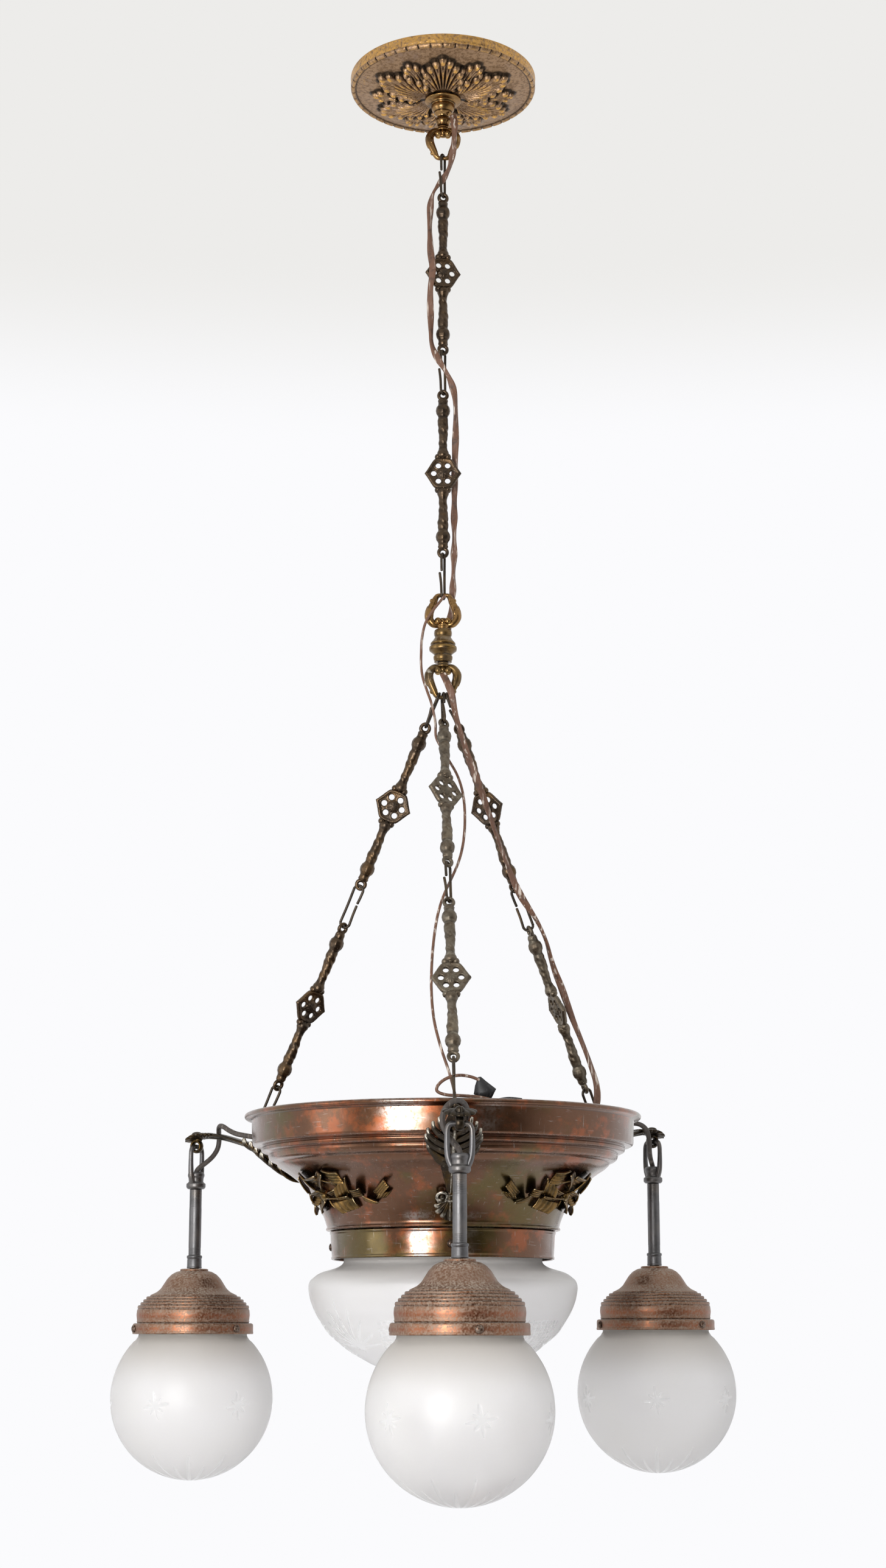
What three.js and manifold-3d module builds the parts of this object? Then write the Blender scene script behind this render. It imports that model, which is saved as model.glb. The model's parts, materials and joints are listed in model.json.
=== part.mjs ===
// A three-arm electric chandelier of spun copper and cast brass, built in millimetres with +Z up.
// The origin is the middle of the ceiling bar's top face, so the whole lamp hangs below z = 0.
// Azimuths are measured from the front, which is -Y, and turn towards +X.
import * as THREE from "three";
import { mergeGeometries, mergeVertices } from "three/addons/utils/BufferGeometryUtils.js";
import Module from "manifold-3d";

const wasm = await Module();
wasm.setup();

// Clearance left between neighbours, and the wall of the spun copper sheet.
const CLEARANCE = 0.3;
const SHEET_WALL = 1.2;

// Ceiling fixing and ceiling plate.
const BAR = { length: 130, width: 20, thickness: 3, screwHole: 2.6, holeSpacing: 100 };
const PLATE = { radius: 85, wallDepth: 10.5, centreDepth: 20.6, rodHole: 4.6 };
const SPINDLE = { rodRadius: 4, cupRadius: 17, ballRadius: 11, ballDepth: 28, neckRadius: 5.6 };

// Cast loops at the ceiling plate and at both ends of the hub.
const LOOP = { height: 31.5, barRadius: 1.8, halfOpening: 8.2, ballHeight: 25, ballRadius: 3.8, capRadius: 5 };
const CEILING_LOOP_SHOULDER = 48;
const HUB_COLUMN = { height: 29.8, waistRadius: 7.6, flangeRadius: 12.1, footRadius: 6.8 };

// Chain: bent wire hooks between cast links.
const WIRE_RADIUS = 1.2;
const HOOK_BEND = 4.4;
const HOOK_GAP = 2.4;
const EYE = { radius: 4.5, tube: 1.5 };
const LINK_LENGTH = 147.5;
const BEAD_RADIUS = 6.1;
const STEM = { thick: 4.9, thin: 3.1 };
const MEDALLION = { width: 32, height: 27.8, thickness: 4.4, holeRadius: 2.6, holeCircle: 8.3 };
const UPPER_HOOK_REACH = 41.5;
const LOWER_HOOK_REACH = { top: 32, middle: 39.2, bottom: 46.2 };
const HOOK_SPACING = 4.4;

// Distances from a hook's wire to the middle of the bar or the eye that it hangs in. A leaning hook sits higher.
const BAR_SEAT = LOOP.barRadius + CLEARANCE + WIRE_RADIUS;
const EYE_SEAT = EYE.radius - EYE.tube - CLEARANCE - WIRE_RADIUS;
const LEANING_SEAT = BAR_SEAT + 0.4;
// A lower chain, from the hub's bar to the eye on an arm.
const LOWER_CHAIN =
  LOWER_HOOK_REACH.top +
  LOWER_HOOK_REACH.middle +
  LOWER_HOOK_REACH.bottom +
  2 * LINK_LENGTH +
  5 * EYE_SEAT -
  LEANING_SEAT;

// Glass bowl, and the gallery ring that its lip hangs in.
const BOWL_NECK = 83;
const BOWL = { neckRadius: BOWL_NECK, lipRadius: BOWL_NECK + 5, radius: BOWL_NECK + 29.6, depth: 114, wall: 4 };
const GALLERY = {
  radius: BOWL.lipRadius + 6.6,
  footRadius: BOWL.lipRadius + 4.4,
  height: 23.6,
  floorHole: BOWL_NECK - 11,
  screwDrop: 13,
};
const GALLERY_SCREWS = [4, -88, 136];

// Body of spun copper. Heights are measured from the middle of the rim's rolled edge.
const CONE_FOOT = { radius: GALLERY.radius + 2.7, height: -91.7 };
const CONE_PULL = { radius: CONE_FOOT.radius + 8.7, height: -59.9 };
const CONE_TOP = { radius: CONE_FOOT.radius + 41.3, height: -42.1 };
const BAND = { radius: CONE_TOP.radius + 22.8, height: 24.6 };
const RIM = { radius: BAND.radius + 5, roll: 2.4, aboveArmEye: 9 };
const BODY_FLOOR_HOLE = BOWL_NECK - 23;

// Arms. Lift is how far a tip has been bent up, and tube is the pendant tube that shows.
const ARMS = [
  { name: "front", azimuth: 3, lift: 0, tube: 51.2, screws: 12, seat: 0, faces: [12, 28, 14, 0, 2] },
  { name: "left", azimuth: -114.5, lift: 8, tube: 57, screws: 45, seat: -1, faces: [0, 2, 22, 44, 62] },
  { name: "right", azimuth: 127.8, lift: 17, tube: 61.3, screws: 39, seat: 1, faces: [-14, -34, -52, -70, -58] },
];
const PENDANT_RADIUS = 239.3;
const ARM = {
  thickness: 4,
  eyeRadius: RIM.radius + 11.1,
  pendantRadius: PENDANT_RADIUS,
  tipRadius: PENDANT_RADIUS + 12.7,
  liftFrom: CONE_TOP.radius + 11.4,
};
const LUG = { thickness: 7.3, length: 12, bottom: -29.3, holeRadius: 3, holeHeight: -23.4 };

// Pendants. Heights are measured from the middle of the rim's rolled edge, before an arm's lift.
const YOKE = { barRadius: 2.05, halfWidth: 9.6, top: -24.05, socketTop: -46.1, collarTop: -55.6, foot: -61 };
const YOKE_SOCKET = { radius: 7.1, collarRadius: 8.4, bore: 3.7 };
const TUBE = { radius: 5.4, bore: 2.3, lockRing: 6.7, lockRingHeight: 2.8, sleeve: 6.25, sleeveHeight: 8.5 };
const NIPPLE = { radius: 3.1, height: 4.8, lowerRadius: 3.9, lowerHeight: 9 };
const FITTER = { height: 55.8, neckRadius: 12, bandRadius: 48.5, rimRadius: 52.2, rimHeight: 8.8 };
const GLOBE = { radius: 70, drop: 54.3, lower: 68.6, neckRadius: 47, lipRadius: 49.4, wall: 3 };
const HOLDER = { radius: 14, height: 38, topGap: 1.4 };
const SCREW = { shaft: 1.3, head: 2.9, headHeight: 2.6, tip: 47.5, aboveRim: 4.5 };

// Ribbon bows on the cone, between the arms.
const BOWS = [
  { name: "left", azimuth: -51 },
  { name: "right", azimuth: 54.5 },
  { name: "rear", azimuth: 186.6 },
];
const BOW = { halfAngle: 30, stand: 0.9, thickness: 3.6 };

// Flex and single wires.
const FLEX = { width: 6.4, thickness: 3.2 };
const STRAND_RADIUS = 1.2;
const ARM_FLEX_RADIUS = 2.2;

// Facets round a full turn.
const FACETS = { body: 28, bowl: 20, globe: 16, fitter: 16, plate: 22, small: 8, wire: 5 };

// The curved surfaces, as solids.

// Joins equal corners and drops the faces that close up on the axis.
function weld(geometry) {
  const bare = geometry.index ? geometry.toNonIndexed() : geometry.clone();
  bare.deleteAttribute("normal");
  bare.deleteAttribute("uv");
  const merged = mergeVertices(bare, 1e-3);
  const kept = [];
  const corners = merged.index.array;
  for (let i = 0; i < corners.length; i += 3) {
    const [a, b, c] = [corners[i], corners[i + 1], corners[i + 2]];
    if (a !== b && b !== c && a !== c) kept.push(a, b, c);
  }
  return { positions: merged.attributes.position.array, corners: kept };
}

function signedVolume({ positions, corners }) {
  const at = (i) => new THREE.Vector3().fromArray(positions, 3 * i);
  let volume = 0;
  for (let i = 0; i < corners.length; i += 3)
    volume += at(corners[i]).dot(at(corners[i + 1]).cross(at(corners[i + 2]))) / 6;
  return volume;
}

// A closed geometry as a solid with its faces turned outwards.
function solid(geometry) {
  const mesh = weld(geometry);
  if (signedVolume(mesh) < 0)
    for (let i = 0; i < mesh.corners.length; i += 3)
      [mesh.corners[i + 1], mesh.corners[i + 2]] = [mesh.corners[i + 2], mesh.corners[i + 1]];
  return new wasm.Manifold(
    new wasm.Mesh({
      numProp: 3,
      vertProperties: new Float32Array(mesh.positions),
      triVerts: new Uint32Array(mesh.corners),
    }),
  );
}

function join(...solids) {
  return solids.reduce((whole, piece) => whole.add(piece));
}

function geometryOf(made) {
  const { vertProperties, triVerts } = made.getMesh();
  const geometry = new THREE.BufferGeometry();
  geometry.setAttribute("position", new THREE.BufferAttribute(vertProperties, 3));
  geometry.setIndex(new THREE.BufferAttribute(triVerts, 1));
  geometry.computeVertexNormals();
  return geometry;
}

// Turns a profile of [radius, height] points round the Z axis.
function turned(profile, facets) {
  const points = profile.map(([radius, height]) => new THREE.Vector2(radius, height));
  return solid(new THREE.LatheGeometry(points, facets).rotateX(Math.PI / 2));
}

// Rings of equal point counts, joined side to side and capped at both ends.
function loft(rings) {
  const count = rings[0].length;
  const positions = rings.flat().flatMap((p) => [p.x, p.y, p.z]);
  const index = [];
  for (let i = 0; i + 1 < rings.length; i++)
    for (let j = 0; j < count; j++) {
      const [a, b] = [i * count + j, i * count + ((j + 1) % count)];
      index.push(a, b, b + count, a, b + count, a + count);
    }
  for (let j = 1; j + 1 < count; j++) {
    const last = (rings.length - 1) * count;
    index.push(0, j + 1, j, last, last + j, last + j + 1);
  }
  const geometry = new THREE.BufferGeometry();
  geometry.setAttribute("position", new THREE.Float32BufferAttribute(positions, 3));
  geometry.setIndex(index);
  return solid(geometry);
}

// A round or flattened tube through points. The width lies as near to the X axis as the path lets it.
function tubeThrough(points, halfWidth, halfThickness, sides) {
  const rings = points.map((point, i) => {
    const before = points[Math.max(i - 1, 0)];
    const after = points[Math.min(i + 1, points.length - 1)];
    const along = after.clone().sub(before).normalize();
    const across = new THREE.Vector3(1, 0, 0);
    across.addScaledVector(along, -across.dot(along)).normalize();
    const out = along.clone().cross(across);
    return Array.from({ length: sides }, (_, k) => {
      const angle = (2 * Math.PI * (k + 0.5)) / sides;
      return point
        .clone()
        .addScaledVector(across, halfWidth * Math.cos(angle))
        .addScaledVector(out, halfThickness * Math.sin(angle));
    });
  });
  return loft(rings);
}

function ball(radius, x, y, z) {
  return solid(new THREE.SphereGeometry(radius, 6, 4).translate(x, y, z));
}

// A round bar along Z between two heights.
function round(radius, low, high, facets = FACETS.small) {
  return turned([[0, low], [radius, low], [radius, high], [0, high]], facets);
}

// A direction and a sideways direction at an azimuth.
function bearings(azimuth) {
  const angle = THREE.MathUtils.degToRad(azimuth);
  return {
    out: new THREE.Vector3(Math.sin(angle), -Math.cos(angle), 0),
    side: new THREE.Vector3(Math.cos(angle), Math.sin(angle), 0),
  };
}

// Ceiling plate group.

function ceilingBar() {
  const strip = solid(new THREE.BoxGeometry(BAR.length, BAR.width, BAR.thickness).translate(0, 0, -BAR.thickness / 2));
  const hole = (side) =>
    round(BAR.screwHole, -2 * BAR.thickness, BAR.thickness).translate([(side * BAR.holeSpacing) / 2, 0, 0]);
  return strip.subtract(hole(-1)).subtract(hole(1));
}

function canopyPlate() {
  const { radius, wallDepth, centreDepth, rodHole } = PLATE;
  const under = [
    [radius + 0.6, -CLEARANCE],
    [radius + 0.6, -1.8],
    [radius, -wallDepth + 1.6],
    [radius - 1, -wallDepth],
    [radius - 9, -wallDepth - 0.4],
    [radius - 11, -wallDepth - 1.8],
    [0.47 * radius, -centreDepth + 2.4],
    [SPINDLE.cupRadius + 3, -centreDepth],
    [rodHole, -centreDepth - 0.2],
  ];
  const top = [
    [rodHole, -centreDepth + SHEET_WALL],
    [SPINDLE.cupRadius + 3, -centreDepth + SHEET_WALL],
    [0.47 * radius, -centreDepth + 2.4 + SHEET_WALL],
    [radius - 10.4, -wallDepth + SHEET_WALL - 1],
    [radius - 1.6, -wallDepth + SHEET_WALL],
    [radius - 1.6, -CLEARANCE],
  ];
  return turned([...under, ...top, under[0]], FACETS.plate);
}

function canopySpindle() {
  const { rodRadius, cupRadius, ballRadius, ballDepth, neckRadius } = SPINDLE;
  const seat = -PLATE.centreDepth - 0.2 - CLEARANCE;
  return turned(
    [
      [0, -BAR.thickness - CLEARANCE],
      [rodRadius, -BAR.thickness - CLEARANCE],
      [rodRadius, seat],
      [cupRadius - 2, seat],
      [cupRadius, seat - 1.4],
      [cupRadius - 2, seat - 3.4],
      [ballRadius - 0.8, seat - 4.6],
      [ballRadius, -ballDepth],
      [ballRadius - 1.1, -ballDepth - 4.8],
      [ballRadius - 3.8, -ballDepth - 8.4],
      [neckRadius, -ballDepth - 9.8],
      [neckRadius - 0.4, -CEILING_LOOP_SHOULDER + 3],
      [neckRadius + 1, -CEILING_LOOP_SHOULDER + CLEARANCE + 1],
      [neckRadius + 1, -CEILING_LOOP_SHOULDER + CLEARANCE],
      [0, -CEILING_LOOP_SHOULDER + CLEARANCE],
    ],
    12,
  );
}

// A cast loop whose bar lies along X through the origin, with its shoulder above.
function castLoop() {
  const { height, barRadius, halfOpening, ballHeight, ballRadius, capRadius } = LOOP;
  const side = [
    [halfOpening - 2.4, 0],
    [halfOpening - 0.5, 3.8],
    [halfOpening, 11],
    [halfOpening + 1.2, 18.5],
    [halfOpening - 1.6, ballHeight],
  ];
  const outline = [
    new THREE.Vector3(0, 0, 0),
    ...side.map(([x, z]) => new THREE.Vector3(x, 0, z)),
    new THREE.Vector3(0, 0, ballHeight + 2.2),
    ...side.reverse().map(([x, z]) => new THREE.Vector3(-x, 0, z)),
  ];
  const path = new THREE.CatmullRomCurve3(outline, true, "centripetal");
  const ring = solid(new THREE.TubeGeometry(path, 16, barRadius, 6, true));
  const legs = [-1, 1].flatMap((turn) => [
    solid(new THREE.SphereGeometry(1, 5, 4).scale(3, 3, 8).translate(turn * (halfOpening + 2.2), 0, 16)),
    ball(ballRadius, turn * (halfOpening + 3), 0, ballHeight - 2.5),
    ball(ballRadius - 0.7, turn * 4.6, 0, ballHeight + 0.4),
    ball(2, turn * (halfOpening + 1.2), 0, 4),
  ]);
  return join(ring, ...legs, round(capRadius, ballHeight - 0.5, height));
}

function hubColumn() {
  const { height, waistRadius, flangeRadius, footRadius } = HUB_COLUMN;
  return turned(
    [
      [0, height],
      [waistRadius, height],
      [waistRadius + 0.4, height - 4],
      [waistRadius + 3.4, height - 11],
      [waistRadius + 3.4, height - 14.5],
      [waistRadius + 2.4, height - 15.8],
      [flangeRadius, height - 17],
      [flangeRadius, height - 20],
      [footRadius, height - 23],
      [footRadius, 1.5],
      [footRadius + 1, 0.8],
      [footRadius + 1, 0],
      [0, 0],
    ],
    12,
  );
}

// A wire hook: a long oval in the YZ plane, open in its front leg. Its bends are at z = 0 and z = -reach.
function wireHook(reach) {
  const bend = (centre, from, to) =>
    Array.from({ length: 5 }, (_, i) => {
      const angle = from + ((to - from) * i) / 4;
      return new THREE.Vector3(0, HOOK_BEND * Math.cos(angle), centre + HOOK_BEND * Math.sin(angle));
    });
  const cut = -reach * 0.42;
  const points = [
    new THREE.Vector3(0, -HOOK_BEND, cut + HOOK_GAP / 2),
    ...bend(-HOOK_BEND, Math.PI, 0),
    ...bend(-reach + HOOK_BEND, 0, -Math.PI),
    new THREE.Vector3(0, -HOOK_BEND, cut - HOOK_GAP / 2),
  ];
  return tubeThrough(points, WIRE_RADIUS, WIRE_RADIUS, FACETS.wire);
}

// A cast link, with its medallion at the origin and an eye at each end along Z.
function castLink() {
  const reach = LINK_LENGTH / 2;
  const { width, height, thickness, holeRadius, holeCircle } = MEDALLION;
  const eye = new THREE.TorusGeometry(EYE.radius, EYE.tube, 4, 7).rotateX(Math.PI / 2);
  const stem = [
    [0, reach - EYE.radius],
    [EYE.tube + 1.4, reach - EYE.radius - 0.8],
    [BEAD_RADIUS + 0.4, reach - 12],
    [BEAD_RADIUS + 0.4, reach - 15.4],
    [STEM.thin + 0.8, reach - 18],
    [STEM.thick, reach - 23],
    [STEM.thin + 0.2, height / 2 + 8],
    [BEAD_RADIUS + 1.2, height / 2 + 4.6],
    [BEAD_RADIUS + 1.2, height / 2 + 1.8],
    [0, height / 2 - 1.4],
  ];
  const half = join(solid(eye.clone().translate(0, 0, reach)), turned(stem, 5));
  const plate = new THREE.Shape([
    new THREE.Vector2(width / 2, 0),
    new THREE.Vector2(0.3 * width, 0.4 * height),
    new THREE.Vector2(0.12 * width, height / 2),
    new THREE.Vector2(-0.12 * width, height / 2),
    new THREE.Vector2(-0.3 * width, 0.4 * height),
    new THREE.Vector2(-width / 2, 0),
    new THREE.Vector2(-0.3 * width, -0.4 * height),
    new THREE.Vector2(-0.12 * width, -height / 2),
    new THREE.Vector2(0.12 * width, -height / 2),
    new THREE.Vector2(0.3 * width, -0.4 * height),
  ]);
  for (let k = 0; k < 6; k++) {
    const turn = (k * Math.PI) / 3;
    const corners = Array.from({ length: 5 }, (_, i) => {
      const angle = turn - (2 * i * Math.PI) / 5;
      return new THREE.Vector2(
        holeCircle * Math.cos(turn) + holeRadius * Math.cos(angle),
        holeCircle * Math.sin(turn) + holeRadius * Math.sin(angle),
      );
    });
    plate.holes.push(new THREE.Path(corners));
  }
  const medallion = new THREE.ExtrudeGeometry(plate, { depth: thickness, bevelEnabled: false })
    .translate(0, 0, -thickness / 2)
    .rotateX(Math.PI / 2);
  return join(solid(medallion), half, half.rotate([180, 0, 0]));
}

// Body group.

// A point on the cone's curve, with the outward direction there. It runs from 0 at the foot to 1 at the top.
function conePoint(t) {
  const bezier = (a, b, c) => (1 - t) ** 2 * a + 2 * t * (1 - t) * b + t * t * c;
  const slope = (a, b, c) => (1 - t) * (b - a) + t * (c - b);
  const along = new THREE.Vector2(
    slope(CONE_FOOT.radius, CONE_PULL.radius, CONE_TOP.radius),
    slope(CONE_FOOT.height, CONE_PULL.height, CONE_TOP.height),
  ).normalize();
  return {
    radius: bezier(CONE_FOOT.radius, CONE_PULL.radius, CONE_TOP.radius),
    height: bezier(CONE_FOOT.height, CONE_PULL.height, CONE_TOP.height),
    out: new THREE.Vector2(along.y, -along.x),
  };
}

function bodyShell() {
  const { radius, roll } = RIM;
  const bandFoot = -BAND.height;
  const top = CONE_TOP;
  const curve = [0, 0.2, 0.4, 0.6, 0.8].map(conePoint);
  const floor = CONE_FOOT.height - 2.8;
  const outer = [
    [radius - 2 * roll, roll * 0.6],
    [radius - roll, roll],
    [radius - 0.4, roll * 0.5],
    [radius - 0.3, -roll * 0.5],
    [BAND.radius, -roll - 0.4],
    [BAND.radius - 0.9, bandFoot + 1.6],
    [BAND.radius - 2.6, bandFoot - 0.6],
    [BAND.radius - 8.6, bandFoot - 2.2],
    [BAND.radius - 9.5, bandFoot - 5.4],
    [top.radius + 5.6, top.height + 7],
    [top.radius + 3.6, top.height + 2.8],
    [top.radius, top.height],
    ...curve.reverse().map((p) => [p.radius, p.height]),
    [CONE_FOOT.radius, floor],
    [BODY_FLOOR_HOLE, floor],
  ];
  const inner = [
    [BODY_FLOOR_HOLE, floor + SHEET_WALL],
    [CONE_FOOT.radius - SHEET_WALL, floor + SHEET_WALL],
    ...[0.2, 0.6].map(conePoint).map((p) => [
      p.radius - SHEET_WALL * p.out.x,
      p.height - SHEET_WALL * p.out.y,
    ]),
    [top.radius - 0.6, top.height + SHEET_WALL + 0.8],
    [top.radius + 3.4, top.height + 9],
    [BAND.radius - 10.6, bandFoot - 1],
    [BAND.radius - SHEET_WALL - 1.2, bandFoot + 2.4],
    [BAND.radius - SHEET_WALL, -roll - 0.4],
  ];
  return turned([...outer, ...inner, outer[0]], FACETS.body);
}

// A round-headed screw along -X, for a hole at a radius. Its tip comes in to another radius.
function radialScrew(hole, tip) {
  const { shaft, head, headHeight } = SCREW;
  return turned(
    [
      [0, tip],
      [shaft, tip],
      [shaft, hole],
      [head, hole],
      [head * 0.7, hole + headHeight],
      [0, hole + headHeight],
    ],
    6,
  ).rotate([90, 0, 0]);
}

function galleryRing() {
  const { radius, footRadius, height, floorHole, screwDrop } = GALLERY;
  const ring = turned(
    [
      [floorHole, 0],
      [radius, 0],
      [radius - 0.3, -2],
      [footRadius + 0.3, -height + 2],
      [footRadius, -height],
      [footRadius - SHEET_WALL, -height],
      [footRadius - SHEET_WALL + 0.3, -height + 2],
      [radius - SHEET_WALL, -SHEET_WALL],
      [floorHole, -SHEET_WALL],
      [floorHole, 0],
    ],
    FACETS.body,
  );
  const wall = radius - ((radius - footRadius) * screwDrop) / height;
  const screws = GALLERY_SCREWS.map((azimuth) =>
    radialScrew(wall - 0.8, BOWL.neckRadius + 1).translate([0, 0, -screwDrop]).rotate([0, 0, azimuth]),
  );
  return join(ring, ...screws);
}

// The lamp bowl, with its lip at z = 0.
function glassBowl() {
  const { neckRadius, lipRadius, radius, depth, wall } = BOWL;
  const outer = [
    [lipRadius, 0],
    [lipRadius, -2.6],
    [neckRadius, -5.4],
    [neckRadius, -19],
    [neckRadius + 7, -23.5],
    [radius - 9, -27.4],
    [radius - 1.4, -33.5],
    [radius, -39],
    [radius - 6, -60],
    [radius - 17, -77],
    [radius - 33.4, -90.5],
    [radius - 54, -102],
    [radius - 80, -111],
    [0, -depth],
  ];
  const inner = [
    [0, -depth + wall],
    [radius - 80.8, -111 + wall],
    [radius - 56, -102 + wall],
    [radius - 36, -90.5 + wall * 0.8],
    [radius - 11, -59.4],
    [radius - wall - 0.6, -38],
    [radius - 12, -31.4],
    [neckRadius - wall, -22],
    [neckRadius - wall, 0],
    [lipRadius, 0],
  ];
  return turned([...outer, ...inner], FACETS.bowl);
}

// Cross-bar, rod and lamp holder for the bowl. The bar rests on the body's floor at z = 0.
function bowlLampholder() {
  const half = BODY_FLOOR_HOLE + 9;
  const bar = solid(new THREE.BoxGeometry(2 * half, 14, 2).translate(0, 0, 1));
  const holder = turned(
    [
      [0, -62],
      [11, -62],
      [12.6, -60],
      [12.6, -46],
      [15.4, -44],
      [15.4, -36],
      [HOLDER.radius, -34],
      [HOLDER.radius, -20],
      [6, -16],
      [5, 0.6],
      [0, 0.6],
    ],
    10,
  );
  return join(bar, holder);
}

// A ribbon bow on the cone: a curved plate that widens into two loops and trails off in two tails.
function ribbonBow() {
  const stations = 13;
  const rings = Array.from({ length: stations }, (_, i) => {
    const across = (2 * i) / (stations - 1) - 1;
    const loops = Math.exp(-(((Math.abs(across) - 0.42) / 0.26) ** 2));
    const middle = 0.46 - 0.1 * Math.abs(across);
    const half = 0.085 + 0.15 * loops;
    const { out } = bearings(across * BOW.halfAngle);
    return [
      [middle - half, BOW.stand],
      [middle + half, BOW.stand],
      [middle + half, BOW.stand + BOW.thickness * 0.7],
      [middle, BOW.stand + BOW.thickness],
      [middle - half, BOW.stand + BOW.thickness * 0.7],
    ].map(([t, stand]) => {
      const p = conePoint(t);
      return out
        .clone()
        .multiplyScalar(p.radius + p.out.x * stand)
        .setZ(p.height + p.out.y * stand);
    });
  });
  return loft(rings);
}

// Arms.

// How far an arm's bend has raised it at a radius.
function liftAt(arm, radius) {
  return (arm.lift * Math.max(radius - ARM.liftFrom, 0)) / (ARM.tipRadius - ARM.liftFrom);
}

// Stations of an arm: radius, height and half width, from the shell at its foot to the scalloped tip.
function armStations() {
  const stand = ARM.thickness / 2 + CLEARANCE + 0.2;
  const onCone = (t, half) => {
    const p = conePoint(t);
    return [p.radius + p.out.x * stand, p.height + p.out.y * stand, half];
  };
  return [
    onCone(0.05, 5),
    onCone(0.14, 11.5),
    onCone(0.26, 12.5),
    onCone(0.38, 7),
    onCone(0.5, 3.6),
    onCone(0.68, 9),
    [CONE_TOP.radius - 0.6, CONE_TOP.height - 3.4, 18],
    [CONE_TOP.radius + 9.4, -38.8, 21.5],
    [CONE_TOP.radius + 21.4, -30.8, 21.5],
    [ARM.eyeRadius - 2.5, -21.8, 16],
    [ARM.pendantRadius - 45.3, -17, 9.5],
    [ARM.pendantRadius - 27.3, -13.4, 7.4],
    [ARM.pendantRadius - 14.3, -12.8, 8],
    [ARM.pendantRadius - 7.3, -13.4, 13],
    [ARM.pendantRadius + 4.7, -16, 14.2],
    [ARM.tipRadius, -18.2, 10],
  ];
}

// An arm in its own frame: radius along X, sideways along Y and height along Z.
function armBracket(arm) {
  const { thickness, eyeRadius, pendantRadius } = ARM;
  const stations = armStations().map(([radius, height, half]) => [radius, height + liftAt(arm, radius), half]);
  const rings = stations.map(([radius, height, half], i) => {
    const before = stations[Math.max(i - 1, 0)];
    const after = stations[Math.min(i + 1, stations.length - 1)];
    const along = new THREE.Vector2(after[0] - before[0], after[1] - before[1]).normalize();
    const corner = (side, up) =>
      new THREE.Vector3(radius - along.y * up * thickness, side * half, height + along.x * up * thickness);
    return [corner(-1, -0.2), corner(-0.5, -0.5), corner(0.5, -0.5), corner(1, -0.2), corner(0.5, 0.5), corner(-0.5, 0.5)];
  });
  const eyeHeight = -RIM.aboveArmEye + liftAt(arm, eyeRadius);
  const lean = Math.asin(eyeRadius / LOWER_CHAIN);
  const eye = solid(
    new THREE.TorusGeometry(EYE.radius, EYE.tube, 5, 8).rotateY(Math.PI / 2 - lean).translate(eyeRadius, 0, eyeHeight),
  );
  const stalk = round(2.6, eyeHeight - 14.5, eyeHeight - EYE.radius, 6).translate([eyeRadius + 1, 0, 0]);
  const raised = liftAt(arm, pendantRadius);
  const lugHeight = 14.6;
  const lug = solid(
    new THREE.BoxGeometry(LUG.length, LUG.thickness, lugHeight).translate(
      pendantRadius,
      0,
      LUG.bottom + lugHeight / 2 + raised,
    ),
  );
  const hole = round(LUG.holeRadius, -LUG.length, LUG.length)
    .rotate([90, 0, 0])
    .translate([pendantRadius, 0, LUG.holeHeight + raised]);
  return join(loft(rings), eye, stalk, lug).subtract(hole);
}

// Pendants, in the frame of their arm: the tube's axis is the Z axis and sideways is Y.

function yoke() {
  const { barRadius, halfWidth, top, socketTop, collarTop, foot } = YOKE;
  const side = [
    [halfWidth - 3.6, collarTop - 0.6],
    [halfWidth - 0.4, socketTop - 1],
    [halfWidth, top - 9],
    [halfWidth - 0.9, top - 3],
    [halfWidth - 3.6, top],
  ];
  const points = [
    ...side.map(([y, z]) => new THREE.Vector3(0, -y, z)),
    ...side.reverse().map(([y, z]) => new THREE.Vector3(0, y, z)),
  ];
  const { radius, collarRadius, bore } = YOKE_SOCKET;
  const socket = turned(
    [
      [bore, socketTop],
      [radius, socketTop],
      [radius - 0.5, collarTop],
      [collarRadius, collarTop],
      [collarRadius, foot + 1.4],
      [collarRadius - 1.4, foot],
      [bore, foot],
      [bore, socketTop],
    ],
    8,
  );
  return join(tubeThrough(points, barRadius, barRadius, 6), socket);
}

// The pendant's tube, with its lock ring and sleeve, from the yoke's collar down through the fitter's neck.
function pendantTube(arm) {
  const { radius, bore, lockRing, lockRingHeight, sleeve, sleeveHeight } = TUBE;
  const top = YOKE.foot - CLEARANCE;
  const ring = top - arm.tube;
  const sleeveTop = ring - lockRingHeight;
  const sleeveFoot = sleeveTop - sleeveHeight;
  return turned(
    [
      [bore, top + NIPPLE.height],
      [NIPPLE.radius, top + NIPPLE.height],
      [NIPPLE.radius, top],
      [radius, top],
      [radius, ring],
      [lockRing, ring],
      [lockRing, sleeveTop],
      [sleeve, sleeveTop],
      [sleeve, sleeveFoot],
      [NIPPLE.lowerRadius, sleeveFoot],
      [NIPPLE.lowerRadius, sleeveFoot - NIPPLE.lowerHeight],
      [bore, sleeveFoot - NIPPLE.lowerHeight],
      [bore, top + NIPPLE.height],
    ],
    8,
  );
}

// Height of a pendant's fitter top, which hangs under the tube's sleeve.
function fitterTop(arm) {
  return YOKE.foot - CLEARANCE - arm.tube - TUBE.lockRingHeight - TUBE.sleeveHeight - CLEARANCE;
}

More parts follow.
